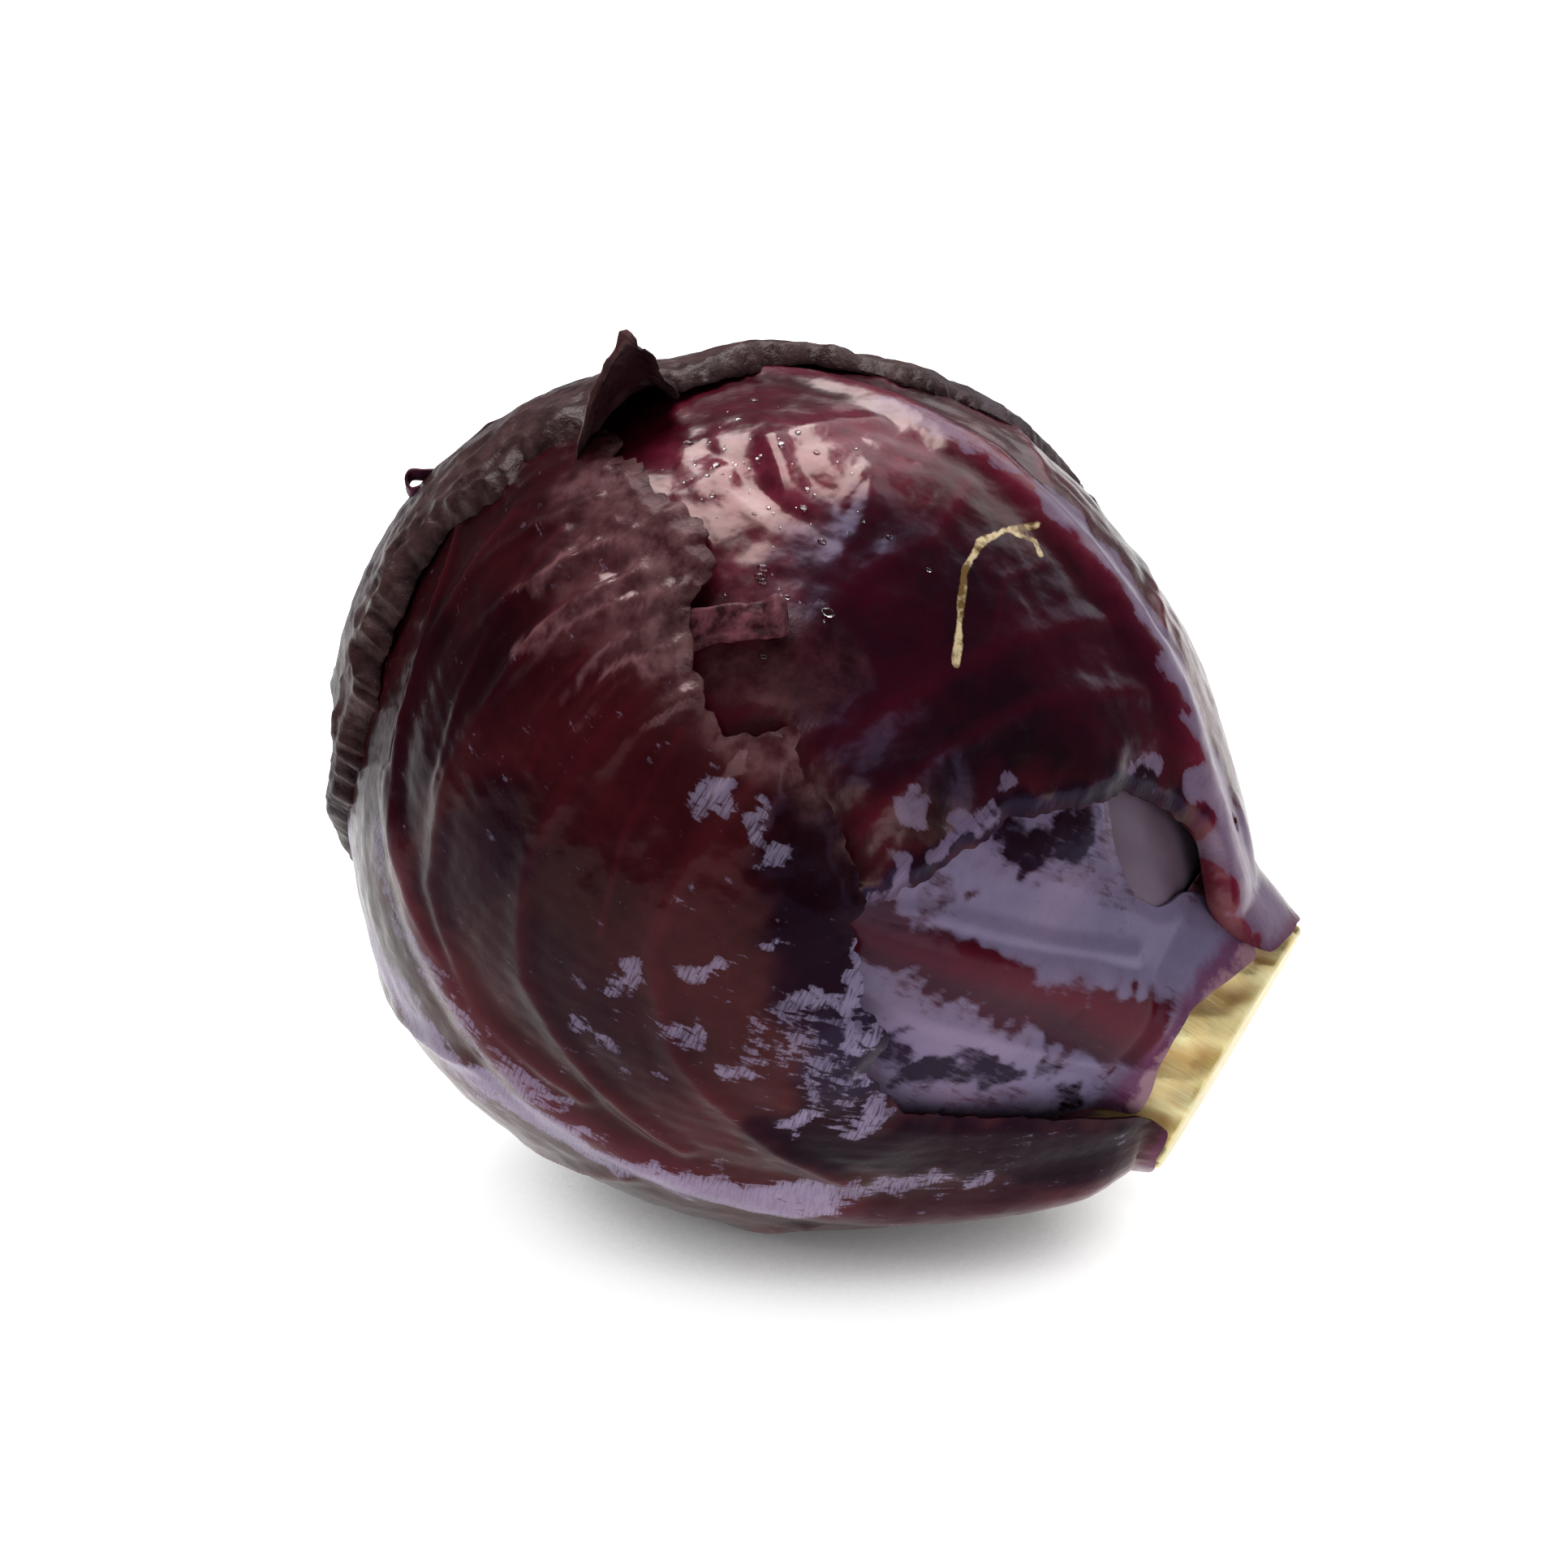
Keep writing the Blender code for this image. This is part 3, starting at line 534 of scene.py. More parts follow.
def skinMaterial(name, look):  # smooth inner leaves of the heart, satin under whole wax
    m, tree, shader = newMaterial(name)
    place = node(tree, "TexCoord", out="Object")
    # wax clouds about 12 mm across over the pigment, and a fine grain
    clouds, fine = [node(tree, "TexNoise", {"Vector": place, "Scale": scale, "Detail": 4.0}) for scale in (85, 700)]
    base = colour(look["dark"])
    for source, low, high, most, tone in ((clouds, 0.36, 0.64, 1.0, look["wax"]),
                                          (fine, 0.5, 0.8, 0.25, look["dark"])):
        amount = node(tree, "MapRange", {0: source, 1: low, 2: high, 4: most})
        base = node(tree, "Mix", {0: amount, 6: base, 7: colour(tone)}, 2, data_type="RGBA")
    rough = node(tree, "MapRange", {0: clouds, 1: 0.3, 2: 0.7, 3: look["rough"], 4: look["rough"] + 0.12})
    bump = node(tree, "Bump", {"Height": clouds, "Strength": 0.3, "Distance": 0.0004})
    fill(tree, shader, {"Base Color": base, "Roughness": rough, "Normal": bump})
    return m


def fleshMaterial(name, look):
    # Cut stalk: moist pale flesh, fibrous along its length, a little light passing through it
    m, tree, shader = newMaterial(name)
    place = node(tree, "TexCoord", out="Object")
    face, hollow, edge = [node(tree, "Attribute", out="Fac", attribute_name=k)
                          for k in ("cutFace", "hollow", "skinEdge")]
    along = node(tree, "UVMap", uv_map="stalkMap")
    # fibres about 0.8 mm apart round the stalk, long in its own direction, and clouds of 7 mm
    stretch = node(tree, "Mapping", {"Vector": along, "Scale": (180.0, 7.0, 1.0)})
    fibres = node(tree, "TexNoise", {"Vector": stretch, "Scale": 1.0, "Detail": 9.0, "Roughness": 0.7})
    clouds = node(tree, "TexNoise", {"Vector": place, "Scale": 150.0, "Detail": 4.0})
    skinFac = node(tree, "Math", {0: fibres, 1: 0.9, 2: edge}, operation="MULTIPLY_ADD")
    base = colour(look["pale"])
    for source, low, high, most, tone in ((clouds, 0.35, 0.65, 1.0, "cream"), (fibres, 0.45, 0.75, 0.5, "deep"),
                                          (hollow, 0.1, 1.0, 0.5, "deep"), (face, 0.0, 1.0, 0.65, "face"),
                                          (skinFac, 0.8, 1.25, 0.9, "skin")):
        amount = node(tree, "MapRange", {0: source, 1: low, 2: high, 4: most})
        base = node(tree, "Mix", {0: amount, 6: base, 7: colour(look[tone])}, 2, data_type="RGBA")
    rough = node(tree, "MapRange", {0: fibres, 1: 0.3, 2: 0.7, 3: 0.34, 4: 0.5})
    height = node(tree, "Math", {0: fibres, 1: 1.6, 2: clouds}, operation="MULTIPLY_ADD")
    bump = node(tree, "Bump", {"Height": height, "Strength": 0.6, "Distance": 0.0008})
    fill(tree, shader, {"Base Color": base, "Roughness": rough, "Normal": bump, "Subsurface Weight": 0.25,
                        "Subsurface Scale": 0.004, "Subsurface Radius": (1.0, 0.7, 0.35)})
    return m


# painting on the leaves: every line is points of (angle, turn), half width in mm and strength

def onSkin(text):
    return spots(text) * markRadius


def raggedWays(d):  # the same directions pushed about by a millimetre or two
    coarse = np.stack([bumps(d, 7, k) for k in (51, 52, 53)], -1) * 0.022
    fine = np.stack([bumps(d, 2.6, k) for k in (54, 55, 56)], -1) * 0.013
    return unit(d + coarse + fine)


def painted(d, lines, level=0.0):
    total = np.full(len(d), float(level))
    d = raggedWays(d)
    for points, half, strength in lines:
        line = onSkin(points)
        gap = np.linalg.norm(d * markRadius - line, axis=1) if len(line) == 1 else nearPath(d * markRadius, line)[0]
        cover = 1 - smoothStep(half * 0.55, half * 1.6, gap)
        if strength > 0:
            total = np.maximum(total, strength * cover)
        else:
            total = total * (1 + strength * cover)
    return total


def folded(d, lines):  # raised folds: points, half width in mm and height in mm, sharp at the crest
    total = np.zeros(len(d))
    for points, half, high in lines:
        gap, share = nearPath(d * markRadius, onSkin(points))
        ends = np.sin(np.clip(share, 0.02, 0.98) * math.pi) ** 0.6
        total = total + high * ends * bell(gap / half, 1.5)
    return total


def leafFaces(leaf, xy, edge):  # the under and upper face of a leaf, in mm
    foot = xy.copy()  # points on the flap are laid from the fold below them
    flapping = np.zeros(len(xy), bool)
    if "flap" in leaf["outline"]:
        a, b, _, out = flapFrame(leaf)
        q, s, _ = overFold(leaf, xy)
        foldLength = np.linalg.norm(b - a)
        flapping = (q > 0) & (s > -2) & (s < foldLength + 2)
        foot[flapping] -= q[flapping, None] * out
    d = fromChart(leaf, foot)
    real = fromChart(leaf, xy)
    angle, _ = anglesOf(d)
    firm = smoothStep(22, 36, angle)
    loose = np.exp(-edge / 7)
    lift = np.zeros(len(xy))
    for at, turn, reach, high in leaf["rolls"]:  # the rim stands further off here
        away = apart(d, direction(at, turn))
        lift += high * bell(away / reach) * bell(edge / leaf["rollWidth"], 1.3)
    lift += folded(d, leaf["folds"])
    sharp = 0.75 - np.abs(bumps(real, 13, 41)) - np.abs(bumps(real, 7, 42)) * 0.5
    lift += leaf["crumple"] * sharp * smoothStep(*leaf["crumpleFrom"], angle) * (0.25 + 0.75 * loose)
    creased = 0.6 - np.abs(bumps(real, 6, 50)) - 0.5 * np.abs(bumps(real, 3.2, 57))
    lift += leaf["wrinkle"] * creased * smoothStep(*leaf["crumpleFrom"], angle) * np.exp(-edge / 16)
    along = np.sin(edge / 1.1 + 2.2 * bumps(real, 16, 58)) * smoothStep(0.5, 2, edge) * bell(edge / 9)
    lift += leaf["plaits"] * along * (0.6 + 0.6 * bumps(real, 9, 59))
    for at, turn, reach, high in leaf["crumples"]:  # places where the blade is crushed into flats
        away = apart(d, direction(at, turn))
        flats = np.abs(bumps(real, 27, 43)) * 1.3 + np.abs(bumps(real, 14, 44)) * 0.25
        lift += high * bell(away / reach) * (flats - 0.35)
    swell = bumps(real, 11, 45) * 0.5 + bumps(real, 4.6, 46) * 0.28 + bumps(real, 2.3, 47) * 0.1
    lift += leaf["swell"] * swell * firm
    under = fieldHeight(leaf, foot)
    lift = standOff(leaf, foot) * leaf["press"] + lift
    lift = np.maximum(lift * (leaf["rimHug"] + (1 - leaf["rimHug"]) * smoothStep(0, 4, edge)), -0.25)
    lift = lift - leaf["tuck"] * bell(edge / 1.8) * smoothStep(30, 44, angle)
    thick = thickness(leaf, foot)
    fine = np.zeros(len(xy))
    for line in leaf["veinLines"]:
        gap, share = nearPath(foot, line)
        fine = np.maximum(fine, leaf["veinCrest"] * (1 - 0.6 * share) * bell(gap * mmDeg / 0.8))
    for points, half, high in leaf["fineVeins"]:
        gap, _ = nearPath(d * markRadius, onSkin(points))
        fine = np.maximum(fine, high * bell(gap / half))
    pits = np.zeros(len(xy))
    for at, turn, radius, deep in leaf["pits"]:
        gap = np.linalg.norm(real - direction(at, turn), axis=1) * markRadius
        pits = pits - deep * (1 - smoothStep(radius * 0.55, radius, gap))
    thin = (0.3 + 0.7 * smoothStep(0, 3.0, edge)) * (0.4 + 0.6 * smoothStep(16, 25, angle))
    body = np.maximum((thick + fine) * thin, 0.32) + pits
    low = under + lift
    high = low + body
    inner = clearOfStalk(d, resting(d, skin(d) + low, low))
    outer = resting(d, inner + body, high)
    outer = np.minimum(outer, stalkShape["cutAt"] / np.maximum(d @ axis, 0.2))
    inner = np.minimum(inner, outer - 0.45)
    lowPoints = centre + d * inner[:, None]
    highPoints = centre + d * outer[:, None]
    if flapping.any():
        # the flap stands up at its fold and curls back on itself, measured in steps of 0.1 mm
        ways = unit(fromChart(leaf, foot[flapping] + 0.5 * out) - d[flapping])
        reach = np.linspace(0, 30, 301)
        turned = np.radians(flapShape["foldTurn"]) * (1 - np.exp(-reach / 2.2))
        curl = smoothStep(flapShape["curlFrom"] * flapShape["length"], 1.1 * flapShape["length"], reach)
        turned = turned + np.radians(flapShape["curlTurn"]) * curl
        far = q[flapping] * mmDeg
        ahead = np.interp(far, reach, np.cumsum(np.cos(turned)) * 0.1)
        up = np.interp(far, reach, np.cumsum(np.sin(turned)) * 0.1)
        bend = np.interp(far, reach, turned)
        at = lowPoints[flapping] + ways * ahead[:, None] + d[flapping] * up[:, None]
        facing = d[flapping] * np.cos(bend)[:, None] - ways * np.sin(bend)[:, None]
        crease = bumps(real[flapping], 8, 48) * 0.5 + np.abs(bumps(real[flapping], 5, 49)) * 0.5
        crease = crease * smoothStep(0, 4, far)
        off = (s[flapping] / foldLength - flapShape["crease"]) * foldLength * mmDeg
        crease = crease * 0.6 - flapShape["tent"] * np.sqrt(off ** 2 + 0.5) * smoothStep(0, 5, far)
        at = at + facing * crease[:, None]
        lowPoints[flapping] = at
        highPoints[flapping] = at + facing * (0.35 + 0.5 * smoothStep(0, 2.5, edge[flapping]))[:, None]
    return lowPoints, highPoints


def paintLeaf(leaf, flat, edge):  # the values that drive the material, one for each vertex of the face
    paint = leaf["paint"]
    d = fromChart(leaf, flat)
    angle, _ = anglesOf(d)
    gap, share = nearPath(flat, leaf["ribLine"])
    wide = np.interp(share, [0, 1], leaf["ribWidth"]) / 2
    vein = np.zeros(len(flat))
    for line in leaf["veinLines"]:
        away, part = nearPath(flat, line)
        vein = np.maximum(vein, (1 - 0.4 * part) * bell(away * mmDeg / 2.0))
    for points, half, _ in leaf["fineVeins"]:
        away, _ = nearPath(d * markRadius, onSkin(points))
        vein = np.maximum(vein, 0.85 * bell(away / (half * 1.3)))
    scar = np.full(len(flat), 10.0)
    for points in paint["scar"]:
        scar = np.minimum(scar, nearPath(d * markRadius, onSkin(points))[0])
    # painted shade: near black in the leaf's pits and over the dark places listed under deep
    paintedShade = np.zeros(len(flat))
    for at, turn, radius, _ in leaf["pits"]:
        gapMm = np.linalg.norm(d - direction(at, turn), axis=1) * markRadius
        paintedShade = np.maximum(paintedShade, 1 - smoothStep(radius * 0.7, radius * 1.1, gapMm))
    paintedShade = np.maximum(paintedShade, painted(d, paint["deep"]))
    dryEdge = leaf["dryRim"] * np.exp(-edge / leaf["dryWidth"]) * smoothStep(*leaf["dryFrom"], angle)
    dry = np.maximum(painted(d, paint["dry"]), dryEdge)
    # faded skin and painted highlights
    fadeAndHighlight = painted(d, paint["fadeAndHighlight"])
    # the flap's tip, facing up into the light, is painted in the faded tone as a painted highlight
    if "flap" in leaf["outline"]:
        beyond, _, fromMiddle = overFold(leaf, flat)
        far = beyond * mmDeg - 0.3 * fromMiddle * mmDeg
        pale = smoothStep(flapShape["paleFrom"], flapShape["paleFrom"] + 0.8, far)
        pale = pale * (np.abs(fromMiddle) < flapShape["halfSpan"])
        fadeAndHighlight = np.maximum(fadeAndHighlight, pale)
        dry = dry * (1 - 0.75 * pale)
    return {
        "vein": vein, "rib": ridge(gap * mmDeg, wide * 1.1), "dry": dry,
        "waxAndSheen": painted(d, paint["waxAndSheen"], leaf["waxAndSheenLevel"]),
        "base": 1 - smoothStep(*paint["base"], angle), "scar": scar,
        "wet": painted(d, paint["wet"]), "fadeAndHighlight": fadeAndHighlight, "paintedShade": paintedShade,
    }


def makeLeaf(leaf):
    name, cadNode = leaf["name"], leaf["node"]
    fine = leaf["fineRing"]
    low, high = fine.min(axis=0) - 0.5, fine.max(axis=0) + 0.5
    rolled = np.roll(fine, -1, axis=0)
    area = abs((fine[:, 0] * rolled[:, 1] - rolled[:, 0] * fine[:, 1]).sum()) / 2
    step = math.sqrt(area / leaf["vertexCount"])
    size = high - low
    deselectAll()
    # chart ahead runs along the grid's y and chart side along its x, so faces point out
    bpy.ops.mesh.primitive_grid_add(x_subdivisions=int(size[1] / step), y_subdivisions=int(size[0] / step), size=1)
    obj = newPiece(name)
    flat = pointsOf(obj)[:, [1, 0]] * size + (low + high) / 2
    keep = insideRing(flat, fine)
    edge, _ = nearRing(flat[keep], fine)
    inside = np.zeros(len(flat), bool)
    inside[np.nonzero(keep)[0][edge > step * 0.3]] = True
    setPoints(obj, np.column_stack([flat[:, 1], flat[:, 0], np.zeros(len(flat))]) * mm)
    deleteMarked(obj, ~inside)
    # the rim's vertices move onto the ragged outline
    rim = rimVertices(obj.data)
    co = pointsOf(obj) * perMetre
    flat = co[:, [1, 0]].copy()
    _, spot = nearRing(flat[rim], fine)
    flat[rim] = spot
    edge, _ = nearRing(flat, fine)
    edge = edge * mmDeg
    edge[rim] = 0
    lowPoints, highPoints = leafFaces(leaf, flat, edge)
    setPoints(obj, highPoints * mm)
    # the modifier makes the second face and the rim, then both faces are put in their own places
    solid = obj.modifiers.new("blade", "SOLIDIFY")
    solid.thickness = 0.8 * mm
    solid.offset = -1
    bpy.context.view_layer.objects.active = obj
    bpy.ops.object.modifier_apply(modifier=solid.name)
    setPoints(obj, np.vstack([highPoints, lowPoints]) * mm)
    facesOutward(obj)
    pick(obj)
    bpy.ops.object.shade_smooth_by_angle(angle=math.radians(55))
    values = paintLeaf(leaf, flat, edge)
    for key, value in values.items():
        addValues(obj, key, np.concatenate([value, value]))
    chartMap = flat * mmDeg / 100
    addMap(obj, "leafMap", np.vstack([chartMap, chartMap]))
    obj.data.materials.append(leafMaterial(leaf["material"], leaf["look"]))
    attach(obj, "root")
    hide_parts(cadNode)
    print(name, "made:", len(obj.data.polygons), "faces")
    return obj


# what most leaves share; points are "angle,turn", sizes are mm
plainLeaf = {
    "depth": 1.0, "veinHeight": 0.9, "veinWidth": 4.4, "crinkle": 0.5, "lifts": [], "rolls": [], "rollWidth": 3.0,
    "folds": [], "crumple": 0.0, "crumpleFrom": (30, 60), "crumples": [], "wrinkle": 0.0, "press": 1.0, "rimHug": 1.0,
    "tuck": 0.5, "plaits": 0.0, "fineVeins": [], "pits": [], "dryRim": 0.0, "dryWidth": 1.0, "dryFrom": (0, 1),
    "waxAndSheenLevel": 0.0,
}
plainPaint = {"waxAndSheen": [], "dry": [], "wet": [], "fadeAndHighlight": [], "deep": [], "scar": []}
plainLook = {
    "dryDark": "#3a2a2c", "dryPale": "#7a6664", "dryRough": 0.2, "waxRough": 0.08, "wetGloss": 0.05, "wetShine": 0.0,
    "darkShine": 0.3, "soft": 0.1, "bump": 0.35,
}

# in the looks, wax and waxAndSheenLow tone both the wax bloom and its painted reflection
# the leaves, innermost first; ribs and veins as in the solids
leafFrontInner = {
    **plainLeaf, "name": "frontLeaf", "node": "leaf_front_inner", "vertexCount": 34000,
    "centre": (60, 18), "depth": 2.9, "ragged": 0.7, "torn": 0.15,
    "outline": "18.6,-8 18.8,4 19.6,14 20,24 20.2,36 19.6,46 19,57 18.6,67 21,70 25,69 27,63 27.6,57 29,52.5 "
               "32.5,49.5 36,50.5 41,55 45,59 54,62 66,66 82,62 96,50 104,28 100,4 84,-14 64,-22 44,-20 30,-14",
    "rib": "20,24 33,25 48,20 64,17 84,20", "ribWidth": (17, 5), "ribHeight": (2.6, 0.3),
    "veins": ["29,38 41,29 56,24 68,19", "24,8 40,8 56,8 70,10"],
    "veinWidth": 3.4, "veinCrest": 0.15, "crinkle": 0.15, "tuck": 0.0, "swell": 0.12, "waxAndSheenLevel": 0.7,
    "paint": {
        **plainPaint, "base": (19, 24),
        # waxAndSheen here is wax bloom and a painted reflection of the floor
        "waxAndSheen": [("62,28 52,30 40,33 30,38 23,48", 8, 0.95), ("63,8 52,5 40,4 28,0", 6, 0.9),
                  ("67,17 58,18 49,17.5 40,17 30,17 23,18", 3.9, -0.92), ("30,24 24,28", 2.6, -0.8),
                  ("54,1", 2.2, -0.6), ("50,-2 44,1 37,1", 2.2, -0.65), ("32,5", 2.0, -0.5), ("27,-4", 2.0, -0.5),
                  ("56,30", 1.6, -0.55), ("56,40 50,41 46,50", 2.4, -0.7), ("58,24 60,30", 1.4, -0.4)],
        # deep marks are painted shade
        "deep": [("66,24 62,30 56,42", 2.2, 0.5), ("54,1 50,0", 4, 0.85), ("50,-2 44,1 36,1", 4, 0.9),
                 ("34,5 26,-4", 4, 0.85), ("57,40 50,42 45,50", 4, 0.9), ("64,18 50,15 30,12", 3, 0.25)],
    },
    "material": "waxySmoothLeaf",
    "look": {
        **plainLook, "dark": "#2a0612", "mid": "#4a0c1e", "fadedAndHighlight": "#5a3040", "ribColour": "#560a1a", "ribShow": 0.7,
        "veinColour": "#7a5a80", "veinShow": 0.1, "wax": "#83738e", "waxAndSheenLow": "#6f6684", "waxAndSheenShow": 0.97,
        "rub": 0.34, "soft": 0.2, "scratched": 0.95, "rough": 0.22, "waxRough": 0.06, "cells": 0.05, "bump": 0.15,
        "gloss": 0.2, "darkShine": 1.4, "glossTint": "#e8e4ff",
    },
}
leafRight = {
    **plainLeaf, "name": "rightLeaf", "node": "leaf_right", "vertexCount": 46000,
    "centre": (85, 82), "ragged": 1.0, "torn": 0.9,
    "outline": "17.8,112 17.8,98 17.8,82 18.2,70 21,64 25,64 28,69 31,72.5 35,71 41,65.5 45,60 47,56 52,46.5 "
               "56.5,41.5 59.5,33 63,26 65.5,22.5 68,20 74,10 84,3 98,7 112,20 124,35 136,48 148,60 156,85 153,115 "
               "143,138 125,150 100,160 75,162 50,160 32,154 22,140",
    "rib": "14,66 21,69 34,81 47,86 62,88 79,88 91,87 108,90 130,92", "ribWidth": (21, 9), "ribHeight": (3.1, 0.8),
    "veins": ["51,78 62,59 69,42 72,28", "61,82 70,61 75,48 80,36", "86,79 85,67 89,56 90,44", "101,82 108,70 112,58",
              "55,96 66,116 74,136", "80,96 94,118 104,138", "104,98 118,112 130,126"],
    "veinHeight": 0.45, "veinCrest": 0.1,
    "lifts": [(65, 23, 7, 1.6), (54, 45, 5, 0.9), (108, 68, 10, 0.9), (36, 108, 12, 3.2), (55, 110, 14, 3.2),
              (75, 106, 12, 2.2)],
    "rolls": [(64, 25, 6, 0.7)],
    "folds": [("16,86 24,92 33,100", 4.5, 1.8), ("113,74 105,64 99,57", 2.4, 1.3),
              ("98,80 94,66 91,52", 2.6, 0.7), ("117,70 109,58 101,55 98,49", 2.4, 0.8)],
    "crumple": 0.2, "crumpleFrom": (30, 50),
    "crumples": [(107, 63, 15, 1.5), (66, 30, 7, 0.8), (46, 62, 7, 0.6), (90, 41, 7, 1.5)],
    "press": 0.6, "rimHug": 0.6, "swell": 0.26,
    "fineVeins": [("71,60 75,70 72,79", 0.6, 0.15), ("92,56 96,62 97,70", 0.6, 0.2)],
    "dryRim": 0.6, "dryWidth": 0.9, "pits": [(30, 89, 1.3, 1.2)],
    "paint": {
        **plainPaint, "base": (16.6, 20),
        # the lilac band along the rib is wax bloom and a painted reflection of the lamps
        "waxAndSheen": [("101,86 87,87 76,91", 2.6, 0.62), ("76,91 65,92 57,91 48,90 39,89 30,89 20,90", 5.4, 1.0),
                  ("37,80 28,78 19,76", 3.2, 0.95), ("30,89", 1.5, -1.0),
                  ("68,34", 2.4, 0.85), ("66,27 64,22", 2.2, 0.85), ("62,33 60,39", 2.6, 0.8),
                  ("67,22 65,20", 1.4, 0.9), ("60.5,44 59,47", 1.2, 0.7), ("47,66 44,68", 1.8, 0.7)],
        "dry": [("96,36 92,41 86,42", 5.0, 0.85), ("88,46 84,44", 3.0, 0.6)],
        "wet": [("112,62 103,68 100,78", 11, 1.0), ("118,60 116,78", 7, 1.0)],
        # the faded patch over the wet place is a painted highlight
        "fadeAndHighlight": [("113,60 104,64 99,76", 9, 0.6), ("100,50 97,46", 5, 0.4)],
        # deep marks are painted shade over the dark middle and along the torn edge
        "deep": [("67,22 61,32 58,41 51,49 45,62 38,72", 3.2, 0.9), ("84,56 72,60 58,72", 17, 0.62),
                 ("78,40 66,46", 9, 0.55), ("118,88 106,96", 6, 0.3)],
        "scar": ["73.4,54 76.4,60 79.4,66 80.1,72 78.8,77 76.2,83", "77.6,78 75.2,80.5 73.4,79"],
    },
    "material": "glossyWineLeaf",
    "look": {
        **plainLook, "dark": "#180206", "mid": "#56081f", "fadedAndHighlight": "#8a3048", "ribColour": "#6a0c2c", "ribShow": 0.85,
        "veinColour": "#6a0c26", "veinShow": 0.4, "wax": "#7c6a84", "waxAndSheenLow": "#6a5a74", "waxAndSheenShow": 0.95,
        "rub": 0.36, "soft": 0.12, "scratched": 0.8, "dryDark": "#1a080c", "dryPale": "#4a262c", "dryRough": 0.35,
        "rough": 0.24, "wetGloss": 0.06, "cells": 0.06, "gloss": 0.6, "glossTint": "#ffdcd6",
    },
}
